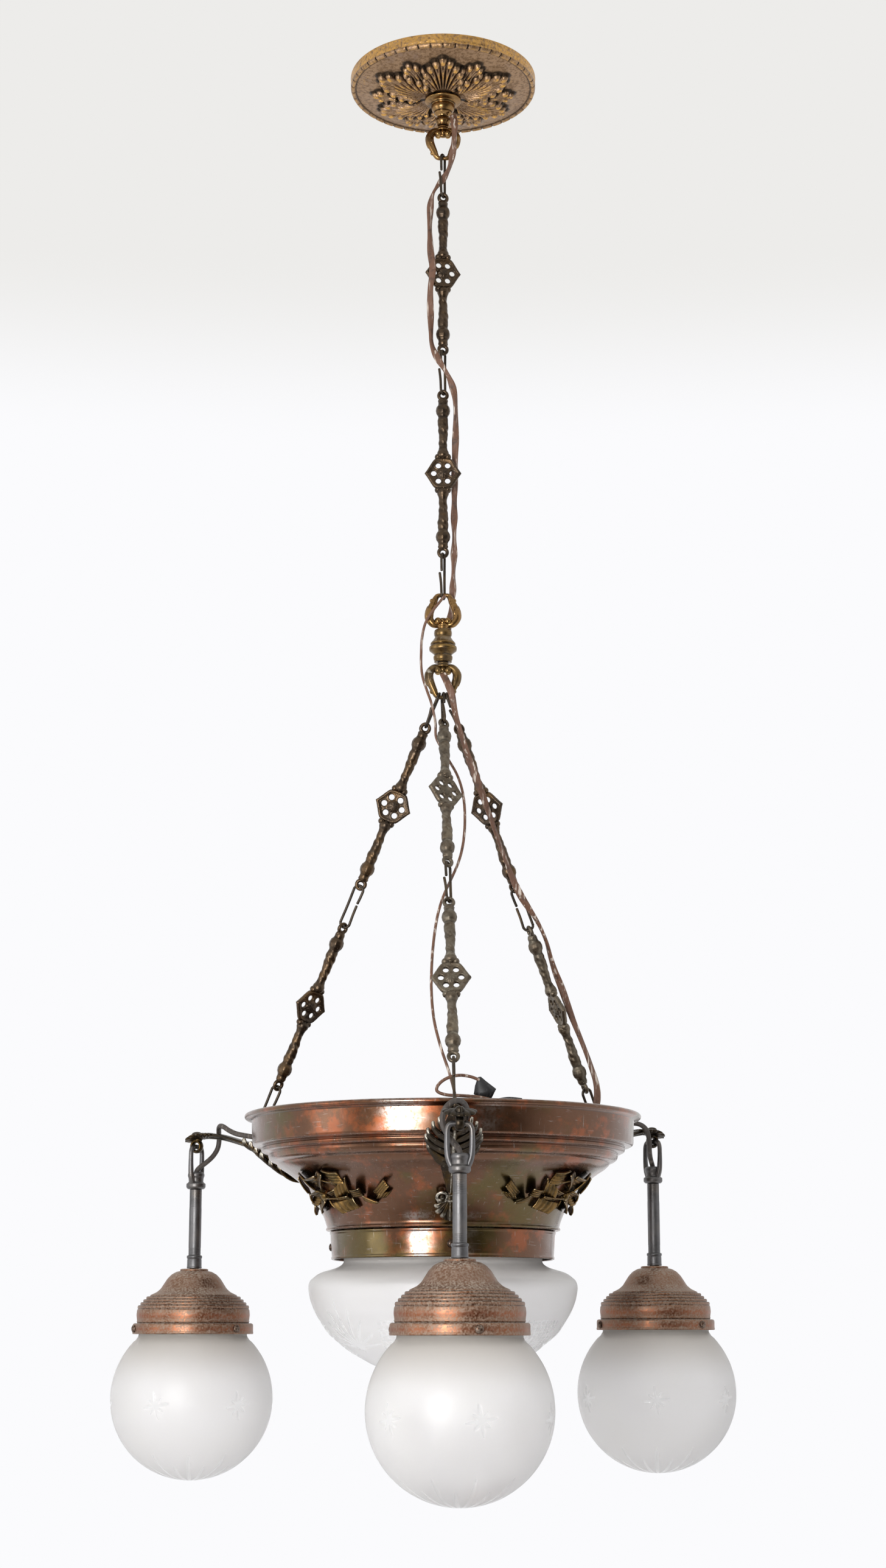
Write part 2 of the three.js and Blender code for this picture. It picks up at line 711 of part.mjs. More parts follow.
function fitter(arm) {
  const { height, neckRadius, bandRadius, rimRadius, rimHeight } = FITTER;
  const hole = NIPPLE.lowerRadius + CLEARANCE;
  const outer = [
    [hole, 0],
    [neckRadius, -0.6],
    [neckRadius + 8, -5.4],
    [neckRadius + 14.2, -12.6],
    [neckRadius + 18.4, -19.3],
    [neckRadius + 28.4, -27.6],
    [bandRadius, -36.4],
    [bandRadius, -height + rimHeight + 0.9],
    [rimRadius, -height + rimHeight],
    [rimRadius, -height],
  ];
  const inner = [
    [rimRadius - SHEET_WALL, -height],
    [rimRadius - SHEET_WALL, -height + rimHeight - SHEET_WALL],
    [bandRadius - SHEET_WALL, -height + rimHeight],
    [bandRadius - SHEET_WALL, -37.4],
    [neckRadius + 25.8, -27.6],
    [neckRadius + 12, -13],
    [neckRadius + 4, -3.4],
    [hole, -SHEET_WALL],
    [hole, 0],
  ];
  const bell = turned([...outer, ...inner], FACETS.fitter);
  const screws = [0, 120, 240].map((turn) =>
    radialScrew(rimRadius - 1, SCREW.tip).translate([0, 0, SCREW.aboveRim - height]).rotate([0, 0, arm.screws + turn]),
  );
  return join(bell, ...screws);
}

// A glass globe, with the fitter's rim at z = 0.
function globe() {
  const { radius, drop, lower, neckRadius, lipRadius, wall } = GLOBE;
  const lipTop = 7.3;
  const lipFoot = 6.1;
  const section = (inset, angles) =>
    angles.map((angle) => {
      const turn = THREE.MathUtils.degToRad(angle);
      const high = angle > 0 ? radius : lower;
      return [(radius - inset) * Math.cos(turn), -drop + (high - inset) * Math.sin(turn)];
    });
  const outer = [
    [lipRadius, lipTop],
    [lipRadius, lipFoot],
    [neckRadius, lipFoot],
    [neckRadius, -1.6],
    ...section(0, [40, 22, 4, -14, -32, -50, -70]),
    [0, -drop - lower],
  ];
  const inner = [
    [0, -drop - lower + wall],
    ...section(wall, [-62, -36, -10, 16, 40]),
    [neckRadius - wall, -1.6],
    [neckRadius - wall, lipTop],
    [lipRadius, lipTop],
  ];
  return turned([...outer, ...inner], FACETS.globe);
}

// A lamp holder screwed on the tube's lower nipple, with the fitter's neck at z = 0.
function lampholder() {
  const { radius, height } = HOLDER;
  const bore = NIPPLE.lowerRadius + 2 * CLEARANCE;
  const top = -SHEET_WALL - HOLDER.topGap;
  return turned(
    [
      [bore, top],
      [bore + 3.4, top],
      [bore + 3.4, top - 5],
      [radius, top - 10],
      [radius, top - 22],
      [radius + 1.4, top - 23],
      [radius + 1.4, top - 28],
      [radius - 1, top - 29],
      [radius - 1, top - height],
      [0, top - height],
      [0, top - NIPPLE.lowerHeight],
      [bore, top - NIPPLE.lowerHeight],
      [bore, top],
    ],
    8,
  );
}

// Routes of the flex and wires, in millimetres, chosen by hand.
const UPPER_FLEX_ROUTE = [
  [9.4, -5.0, -39],
  [10.4, -7.4, -47],
  [10.7, -8.6, -55],
  [10.2, -8.0, -64],
  [9.4, -6.8, -73],
  [8.0, -4.4, -81],
  [6.2, -1.6, -88],
  [3.0, 0, -95],
  [-1.0, 0, -101.5],
  [-5.4, -0.8, -108],
  [-9.0, -2.2, -115],
  [-11.0, -3.2, -123],
  [-11.8, -3.6, -134],
  [-12.2, -4.0, -147],
  [-11.8, -5.0, -161],
  [-11.2, -6.0, -175],
  [-9.8, -6.8, -186],
  [-9.4, -6.9, -192],
];
const MIDDLE_FLEX_ROUTE = [
  [-9.4, -6.9, -192.6],
  [-10.0, -6.7, -200],
  [-11.4, -6.2, -210],
  [-11.6, -5.2, -223],
  [-11.2, -4.2, -237],
  [-11.0, -3.8, -251],
  [-10.4, -4.6, -262],
  [-7.6, -6.8, -272],
  [-3.4, -8.4, -281],
  [1.2, -8.8, -289],
  [5.4, -8.0, -297],
  [8.6, -6.2, -305],
  [10.6, -4.2, -314],
  [11.4, -2.0, -326],
  [11.5, 0.6, -340],
  [11.2, 4.0, -354],
  [10.8, 7.2, -366],
  [10.5, 8.4, -377],
  [10.4, 8.6, -384],
];
const LOWER_FLEX_ROUTE = [
  [10.4, 8.6, -384.6],
  [10.3, 8.2, -394],
  [10.2, 7.4, -405],
  [10.1, 6.2, -417],
  [10.0, 5.2, -429],
  [10.0, 4.8, -441],
  [9.9, 4.8, -453],
  [9.7, 5.4, -464],
  [9.3, 6.4, -475],
  [8.9, 7.4, -486],
  [8.4, 8.2, -497],
  [7.6, 8.8, -507],
  [6.4, 9.2, -516],
  [5.0, 9.0, -523],
  [4.2, 8.6, -527.6],
];
// Distance down the right-hand chain, then in front of it and to its right.
const CHAIN_FLEX_ROUTE = [
  [-17.0, -3.4, 2.8],
  [-12.0, 0.8, 3.4],
  [-6.0, 5.8, 4.0],
  [1.0, 9.2, 4.2],
  [10.0, 9.6, 2.8],
  [21.0, 8.8, 1.2],
  [33.0, 8.2, 0.4],
  [46.0, 8.8, 0],
  [60.0, 8.0, -0.4],
  [75.0, 8.6, 0],
  [90.0, 9.6, 0.4],
  [107.0, 9.4, 0.4],
  [124.0, 9.6, 0.4],
  [139.0, 8.4, 0.4],
  [154.0, 8.2, 0.6],
  [168.0, 8.8, 0.8],
  [180.0, 8.8, 1.6],
  [192.0, 8.6, 3.4],
  [203.0, 7.4, 6.0],
  [214.0, 5.2, 8.6],
  [226.0, 2.6, 10.2],
  [238.0, -0.4, 10.6],
  [251.0, -3.0, 9.6],
  [265.0, -4.4, 9.2],
  [280.0, -5.2, 9.8],
  [296.0, -5.2, 9.8],
  [312.0, -5.0, 10.0],
  [328.0, -3.4, 10.8],
  [343.0, -2.0, 11.4],
  [357.0, -0.8, 11.4],
  [369.0, 1.8, 11.0],
  [379.0, 6.2, 8.6],
  [388.0, 10.0, 3.6],
  [395.0, 13.0, -6.0],
  [402.0, 14.6, -15.0],
  [411.0, 15.6, -24.0],
  [418.0, 16.0, -32.0],
];
const STRAND_ROUTE = [
  [1.5, -7.2, -501],
  [-4, -7.0, -508],
  [-10, -6.8, -516],
  [-15.6, -6.0, -526],
  [-18.4, -4.0, -538],
  [-19.2, -3.0, -551],
  [-19.2, -4.0, -564],
  [-17.6, -6.4, -576],
  [-14.0, -9.2, -588],
  [-10.4, -11.4, -599],
  [-8.0, -11.6, -609],
  [-6.5, -11.2, -619],
  [-6.0, -9.6, -630],
  [-0.5, -9.4, -641],
  [5.5, -12.4, -652],
  [11.5, -18.4, -664],
  [15.5, -27.0, -677],
  [17.8, -36.6, -691],
  [18.6, -45.4, -706],
  [18.2, -52.6, -722],
  [16.2, -58.4, -738],
  [12.4, -61.8, -752],
  [6.4, -63.4, -766],
  [0.4, -66.2, -780],
  [-4.2, -71.4, -796],
  [-7.4, -80.4, -817],
  [-9.2, -91.6, -841],
  [-9.4, -103.0, -866],
  [-7.2, -113.4, -890],
  [-2.0, -121.8, -912],
  [3.8, -127.6, -930],
  [7.8, -131.4, -944],
  [9.8, -133.8, -954],
  [10.6, -135.2, -963],
];
// Radius, sideways and height above the rim's rolled edge, before the arm's lift.
const ARM_FLEX_ROUTE = [
  [161.9, 9.5, -14.0],
  [169, 9.6, -13.6],
  [177, 9.5, -13.0],
  [186, 9.2, -12.2],
  [195, 8.6, -11.0],
  [203, 7.2, -8.4],
  [209.5, 4.4, -5.6],
  [215.5, 0.2, -4.6],
  [220, -5.0, -6.4],
  [222.6, -9.6, -10.8],
  [223.6, -12.0, -17.0],
  [224.8, -11.8, -24.0],
  [227.6, -8.8, -31.0],
  [232.0, -4.8, -37.0],
  [236.4, -1.4, -41.6],
  [239.0, 0, -45.6],
  [239.3, 0, -50.4],
];

function flexAlong(route) {
  const points = route.map((p) => new THREE.Vector3(...p));
  return tubeThrough(points, FLEX.width / 2, FLEX.thickness / 2, FACETS.small);
}

function wireAlong(route, radius) {
  return tubeThrough(route.map((p) => new THREE.Vector3(...p)), radius, radius, FACETS.small);
}

// Materials.
const finish = (color, roughness, metalness) => new THREE.MeshStandardMaterial({ color, roughness, metalness });
const FINISHES = {
  goldBrass: () => finish(0xa07a3a, 0.34, 1),
  canopyBrass: () => finish(0x8c6d45, 0.42, 1),
  bronze: () => finish(0x5d4a36, 0.46, 1),
  copper: () => finish(0x8a4f33, 0.36, 1),
  darkArm: () => finish(0x55504a, 0.44, 1),
  ribbonBronze: () => finish(0x7a5a2c, 0.4, 1),
  glass: () => {
    const frosted = finish(0xece8e2, 0.55, 0);
    frosted.transparent = true;
    frosted.opacity = 0.85;
    return frosted;
  },
  steel: () => finish(0x8f8f8c, 0.5, 1),
  brownFlex: () => finish(0x6b4838, 0.62, 0),
  darkFlex: () => finish(0x3b342e, 0.55, 0),
};

const chandelier = new THREE.Group();

function addMesh(parent, name, made, finishName) {
  const mesh = new THREE.Mesh(geometryOf(made), FINISHES[finishName]());
  mesh.name = name;
  parent.add(mesh);
  return mesh;
}

// Ceiling group.
addMesh(chandelier, "ceiling_bar", ceilingBar(), "steel");
addMesh(chandelier, "canopy_plate", canopyPlate(), "canopyBrass");
addMesh(chandelier, "canopy_spindle", canopySpindle(), "goldBrass");

const loopBar = -CEILING_LOOP_SHOULDER - LOOP.height;
addMesh(chandelier, "canopy_loop", castLoop(), "goldBrass").position.z = loopBar;

// Upper chain, from the ceiling loop down. Each piece hangs from the wire or eye above it.
const upperHooks = [
  { name: "hook_upper", top: loopBar + BAR_SEAT, turn: 0 },
  { name: "hook_middle", turn: 0 },
  { name: "hook_lower", turn: 0 },
];
const upperLinks = [
  { name: "link_upper", turn: 12 },
  { name: "link_lower", turn: 0 },
];
upperHooks.forEach((hook, i) => {
  addMesh(chandelier, hook.name, wireHook(UPPER_HOOK_REACH), "bronze").position.z = hook.top;
  const link = upperLinks[i];
  if (!link) return;
  const topEye = hook.top - UPPER_HOOK_REACH - EYE_SEAT;
  const mesh = addMesh(chandelier, link.name, castLink(), "bronze");
  mesh.position.z = topEye - LINK_LENGTH / 2;
  mesh.rotation.z = THREE.MathUtils.degToRad(link.turn);
  upperHooks[i + 1].top = topEye - LINK_LENGTH - EYE_SEAT;
});

// Hub: a loop, a turned column and a second loop.
const hubTopBar = upperHooks[2].top - UPPER_HOOK_REACH + BAR_SEAT;
const hubTop = addMesh(chandelier, "hub_top_loop", castLoop(), "goldBrass");
hubTop.position.z = hubTopBar;
hubTop.rotation.y = Math.PI;
const columnFoot = hubTopBar - LOOP.height - CLEARANCE - HUB_COLUMN.height;
addMesh(chandelier, "hub_column", hubColumn(), "goldBrass").position.z = columnFoot;
const hubBar = columnFoot - CLEARANCE - LOOP.height;
addMesh(chandelier, "hub_bottom_loop", castLoop(), "goldBrass").position.z = hubBar;

// The lower chains fix the height of the arms' eyes, and the body hangs from those.
const armEye = hubBar - Math.sqrt(LOWER_CHAIN ** 2 - ARM.eyeRadius ** 2);
const rim = armEye + RIM.aboveArmEye;

// A group whose Z axis runs back up a line, and whose Y axis is turned as near as it can be to an azimuth.
function lineFrame(origin, up, face) {
  const toward = bearings(face).out.negate();
  const y = toward.addScaledVector(up, -toward.dot(up)).normalize();
  const x = y.clone().cross(up);
  const group = new THREE.Group();
  group.matrixAutoUpdate = false;
  group.matrix.makeBasis(x, y, up).setPosition(origin);
  chandelier.add(group);
  return group;
}

// The line of an arm's chain, from the hub's bar to the arm's eye. Distances run down it from the first hook's wire.
function chainLine(arm) {
  const bar = new THREE.Vector3(arm.seat * HOOK_SPACING, 0, hubBar);
  const end = bearings(arm.azimuth).out.multiplyScalar(ARM.eyeRadius).setZ(armEye + liftAt(arm, ARM.eyeRadius));
  const up = bar.clone().sub(end).normalize();
  const start = bar.clone().addScaledVector(up, LEANING_SEAT);
  return { up, length: start.distanceTo(end), at: (distance) => start.clone().addScaledVector(up, -distance) };
}

ARMS.forEach((arm) => {
  const { up, length: whole, at } = chainLine(arm);
  // The hook to the arm takes up what the arm's lift leaves over.
  const toArm = whole - LEANING_SEAT - LOWER_CHAIN + LOWER_HOOK_REACH.bottom;
  const pieces = [
    ["hook", wireHook(LOWER_HOOK_REACH.top), "top", LOWER_HOOK_REACH.top],
    ["link", castLink(), "upper", LINK_LENGTH],
    ["hook", wireHook(LOWER_HOOK_REACH.middle), "middle", LOWER_HOOK_REACH.middle],
    ["link", castLink(), "lower", LINK_LENGTH],
    ["hook", wireHook(toArm), "bottom", toArm],
  ];
  let reached = 0;
  pieces.forEach(([kind, made, place, length], i) => {
    const origin = kind === "link" ? at(reached + length / 2) : at(reached);
    addMesh(lineFrame(origin, up, arm.faces[i]), `chain_${arm.name}_${kind}_${place}`, made, "bronze");
    reached += length + EYE_SEAT;
  });
});

// Body, gallery, bowl and its lamp holder.
const body = new THREE.Group();
body.position.z = rim;
chandelier.add(body);
addMesh(body, "body_shell", bodyShell(), "copper");
const floor = CONE_FOOT.height - 2.8;
addMesh(body, "gallery_ring", galleryRing(), "copper").position.z = floor - CLEARANCE;
const lipTop = floor - CLEARANCE - GALLERY.screwDrop + 4.8 + SCREW.shaft;
addMesh(body, "glass_bowl", glassBowl(), "glass").position.z = lipTop;
addMesh(body, "bowl_lampholder", bowlLampholder(), "steel").position.z = floor + SHEET_WALL + CLEARANCE;
BOWS.forEach((bow) => {
  addMesh(body, `ribbon_bow_${bow.name}`, ribbonBow(), "ribbonBronze").rotation.z = THREE.MathUtils.degToRad(bow.azimuth);
});

// Arms and pendants.
ARMS.forEach((arm) => {
  const holder = new THREE.Group();
  holder.rotation.z = THREE.MathUtils.degToRad(arm.azimuth - 90);
  body.add(holder);
  addMesh(holder, `arm_${arm.name}`, armBracket(arm), "darkArm");

  const raised = liftAt(arm, ARM.pendantRadius);
  const pendant = new THREE.Group();
  pendant.position.set(ARM.pendantRadius, 0, raised);
  holder.add(pendant);
  addMesh(pendant, `yoke_${arm.name}`, yoke(), "darkArm");
  addMesh(pendant, `tube_${arm.name}`, pendantTube(arm), "darkArm");
  const top = fitterTop(arm);
  addMesh(pendant, `fitter_${arm.name}`, fitter(arm), "copper").position.z = top;
  addMesh(pendant, `lampholder_${arm.name}`, lampholder(), "goldBrass").position.z = top;
  addMesh(pendant, `globe_${arm.name}`, globe(), "glass").position.z = top - FITTER.height;

  const route = ARM_FLEX_ROUTE.map(([radius, side, height]) => [radius, side, height + liftAt(arm, radius)]);
  addMesh(holder, `arm_flex_${arm.name}`, wireAlong(route, ARM_FLEX_RADIUS), "darkFlex");
});

// Flex and strand.
addMesh(chandelier, "flex_upper", flexAlong(UPPER_FLEX_ROUTE), "brownFlex");
addMesh(chandelier, "flex_middle", flexAlong(MIDDLE_FLEX_ROUTE), "brownFlex");
addMesh(chandelier, "flex_lower", flexAlong(LOWER_FLEX_ROUTE), "brownFlex");
const right = chainLine(ARMS[2]);
const beside = new THREE.Vector3(1, 0, 0).addScaledVector(right.up, -right.up.x).normalize();
const before = beside.clone().cross(right.up);
const chainFlexRoute = CHAIN_FLEX_ROUTE.map(([along, front, side]) =>
  right.at(along).addScaledVector(before, front).addScaledVector(beside, side).toArray(),
);
addMesh(chandelier, "flex_chain", flexAlong(chainFlexRoute), "brownFlex");
addMesh(chandelier, "strand", wireAlong(STRAND_ROUTE, STRAND_RADIUS), "brownFlex");

export default chandelier;
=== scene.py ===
"""The looks of a three-arm chandelier of spun copper and cast brass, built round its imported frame.

Sizes are in millimetres until a mesh is made, and +Z is up. Azimuths run in degrees from the front,
which is -Y, towards +X. Heights in the body are measured from the middle of the rim's rolled edge.
"""

import json
import logging
import math
from dataclasses import dataclass
from enum import Enum
from functools import cache
from typing import Callable, Sequence

import bmesh
import bpy
import numpy as np
from mathutils import Matrix, Vector

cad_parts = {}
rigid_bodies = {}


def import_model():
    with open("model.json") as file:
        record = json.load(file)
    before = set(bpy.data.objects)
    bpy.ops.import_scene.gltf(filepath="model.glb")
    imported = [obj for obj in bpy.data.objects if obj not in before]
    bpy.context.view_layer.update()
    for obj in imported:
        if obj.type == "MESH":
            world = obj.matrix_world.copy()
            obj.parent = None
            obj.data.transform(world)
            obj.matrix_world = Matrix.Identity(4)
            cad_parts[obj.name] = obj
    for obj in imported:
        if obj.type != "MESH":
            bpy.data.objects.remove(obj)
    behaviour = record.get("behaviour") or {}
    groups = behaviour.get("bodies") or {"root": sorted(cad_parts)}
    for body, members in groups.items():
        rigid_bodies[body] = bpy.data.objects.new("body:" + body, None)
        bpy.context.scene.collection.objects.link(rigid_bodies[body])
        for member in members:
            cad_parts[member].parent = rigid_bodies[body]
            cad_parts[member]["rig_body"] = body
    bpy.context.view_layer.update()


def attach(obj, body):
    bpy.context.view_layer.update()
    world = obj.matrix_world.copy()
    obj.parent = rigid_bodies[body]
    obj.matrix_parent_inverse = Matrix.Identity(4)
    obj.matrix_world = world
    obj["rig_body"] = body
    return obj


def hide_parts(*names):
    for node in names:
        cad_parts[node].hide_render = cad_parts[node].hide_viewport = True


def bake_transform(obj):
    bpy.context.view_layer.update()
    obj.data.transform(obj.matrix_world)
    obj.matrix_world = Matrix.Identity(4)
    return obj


LOG = logging.getLogger("chandelier")
MM = 0.001
RELIEF = "relief"
Array = np.ndarray
Colour = tuple[float, float, float, float]
Line = Sequence[Sequence[float]]
Pair = tuple[Array, Array]
Mesh = bpy.types.Mesh
Socket = bpy.types.NodeSocket
Tree = bpy.types.NodeTree


# Numbers and lines


def srgb(red: int, green: int, blue: int) -> Colour:
    """Turns a colour of 0 to 255 into linear values.

    Args:
        red: Red, 0 to 255.
        green: Green, 0 to 255.
        blue: Blue, 0 to 255.

    Returns:
        The linear colour with an alpha of 1.
    """
    parts = [((c / 255 + 0.055) / 1.055) ** 2.4 if c > 10 else c / 3294.6 for c in (red, green, blue)]
    return (parts[0], parts[1], parts[2], 1.0)


def ease(low: float, high: float, value: Array | float) -> Array:
    """A smooth step from 0 at low to 1 at high.

    Args:
        low: Where the step starts.
        high: Where the step ends, which may be below low.
        value: The values to step.

    Returns:
        The stepped values.
    """
    t = np.clip((np.asarray(value, float) - low) / (high - low), 0, 1)
    return t * t * (3 - 2 * t)


def bell(value: Array | float, centre: float, width: float) -> Array:
    """A bell curve of height 1 round a centre."""
    return np.exp(-(((np.asarray(value, float) - centre) / width) ** 2))


def banded(value: Array, base: Array | float, *bands: tuple[float, float, float]) -> Array:
    """A base with bell curves added to it, each given as its height, its centre and its width."""
    for height, centre, width in bands:
        base = base + height * bell(value, centre, width)
    return base


def round_turn(count: int) -> Array:
    """Angles spread evenly round a full turn."""
    return np.linspace(0, 2 * math.pi, count, endpoint=False)


def astray(angle: Array | float, full: float) -> Array | float:
    """An angle brought to within half a turn of zero, where a full turn is 360 or two pi."""
    return (angle + full / 2) % full - full / 2


def through(points: Line, steps: int) -> Array:
    """A smooth line through points.

    Args:
        points: The points, each of any number of coordinates.
        steps: Pieces between two points.

    Returns:
        The points of the line.
    """
    given = np.asarray(points, float)
    padded = np.concatenate([given[:1], given, given[-1:]])
    out = []
    for a, b, c, d in zip(padded, given, given[1:], padded[3:]):
        for t in np.arange(steps) / steps:
            bend = (2 * a - 5 * b + 4 * c - d) * t**2 + (3 * b - a - 3 * c + d) * t**3
            out.append(0.5 * (2 * b + (c - a) * t + bend))
    out.append(given[-1])
    return np.array(out)


def rounded(corners: Line, reach: float, step: float, closed: bool = False) -> Array:
    """A line whose corners are rounded and whose long stretches have extra points.

    Args:
        corners: The corners.
        reach: How far from a corner its rounding starts.
        step: The longest stretch without a point.
        closed: Whether the last corner leads back to the first.

    Returns:
        The points of the line.
    """
    given = np.asarray(corners, float)
    count = len(given)
    bent = []
    for i in range(count):
        here = given[i]
        if not closed and i in (0, count - 1):
            bent.append(here)
            continue
        before, after = given[i - 1] - here, given[(i + 1) % count] - here
        near = min(reach, 0.42 * np.linalg.norm(before), 0.42 * np.linalg.norm(after))
        a = here + before / max(np.linalg.norm(before), 1e-9) * near
        b = here + after / max(np.linalg.norm(after), 1e-9) * near
        bent += [(1 - t) ** 2 * a + 2 * t * (1 - t) * here + t * t * b for t in (0.0, 0.33, 0.67, 1.0)]
    if closed:
        bent.append(bent[0])
    out = []
    for a, b in zip(bent, bent[1:]):
        pieces = max(1, math.ceil(np.linalg.norm(b - a) / step))
        out += [a + (b - a) * k / pieces for k in range(pieces)]
    if not closed:
        out.append(bent[-1])
    return np.array(out)


def nearest(x: Array, y: Array, curve: Array) -> Pair:
    """How far points are from a flat curve.

    Args:
        x: The points' first coordinate.
        y: Their second coordinate.
        curve: The curve's points.

    Returns:
        The distance, and where on the curve it is nearest, from 0 to 1.
    """
    best = np.full_like(x, 1e9)
    share = np.zeros_like(x)
    for i, (a, b) in enumerate(zip(curve, curve[1:])):
        step = b - a
        t = np.clip(((x - a[0]) * step[0] + (y - a[1]) * step[1]) / (step @ step), 0, 1)
        away = np.hypot(x - a[0] - t * step[0], y - a[1] - t * step[1])
        closer = away < best
        best = np.where(closer, away, best)
        share = np.where(closer, (i + t) / (len(curve) - 1), share)
    return best, share


def bearings(azimuth: float) -> Pair:
    """The outward and the sideways direction at an azimuth in degrees."""
    angle = math.radians(azimuth)
    out = np.array([math.sin(angle), -math.cos(angle), 0.0])
    side = np.array([math.cos(angle), math.sin(angle), 0.0])
    return out, side


def basis(x: Array, y: Array, z: Array, origin: Array) -> Matrix:
    """A placing matrix from three directions and an origin in millimetres."""
    made = Matrix.Identity(4)
    for column, vector in enumerate((x, y, z, np.asarray(origin) * MM)):
        for row in range(3):
            made[row][column] = float(vector[row])
    return made


def lifted(z: float, azimuth: float = 0.0) -> Matrix:
    """A placing matrix that lifts to a height in millimetres and turns round the Z axis."""
    return Matrix.Translation((0, 0, z * MM)) @ Matrix.Rotation(math.radians(azimuth), 4, "Z")


def capped(rows: Array) -> Array:
    """Rows of points, with a row at either end that has shrunk to its middle."""
    ends = np.repeat(rows[[0, -1]].mean(1, keepdims=True), rows.shape[1], 1)
    return np.concatenate([ends[:1], rows, ends[1:]])


def circle(centre: Sequence[float], first: Sequence[float], second: Sequence[float], count: int) -> Array:
    """Points round a centre, on the ellipse that two half axes give."""
    turn = round_turn(count)[:, None]
    return np.asarray(centre) + np.cos(turn) * np.asarray(first) + np.sin(turn) * np.asarray(second)


def frames(path: Array, closed: bool, across: Sequence[float] | None) -> Pair:
    """Two directions square to a line at each of its points.

    Args:
        path: The line.
        closed: Whether it is closed.
        across: What the first of the two keeps close to. Without it they turn as little as they can.

    Returns:
        The two directions at each point.
    """
    if closed:
        tangents = np.roll(path, -1, 0) - np.roll(path, 1, 0)
    else:
        tangents = np.gradient(path, axis=0)
    tangents /= np.maximum(np.linalg.norm(tangents, axis=1, keepdims=True), 1e-9)
    if across is not None:
        wanted = np.asarray(across, float)
        first = wanted - (tangents @ wanted)[:, None] * tangents
        first /= np.maximum(np.linalg.norm(first, axis=1, keepdims=True), 1e-9)
        return first, np.cross(tangents, first)
    start = np.eye(3)[np.argmin(np.abs(tangents[0]))]
    kept = []
    for tangent in tangents:
        start = start - tangent * (start @ tangent)
        start = start / np.linalg.norm(start)
        kept.append(start)
    first = np.array(kept)
    return first, np.cross(tangents, first)


# Meshes


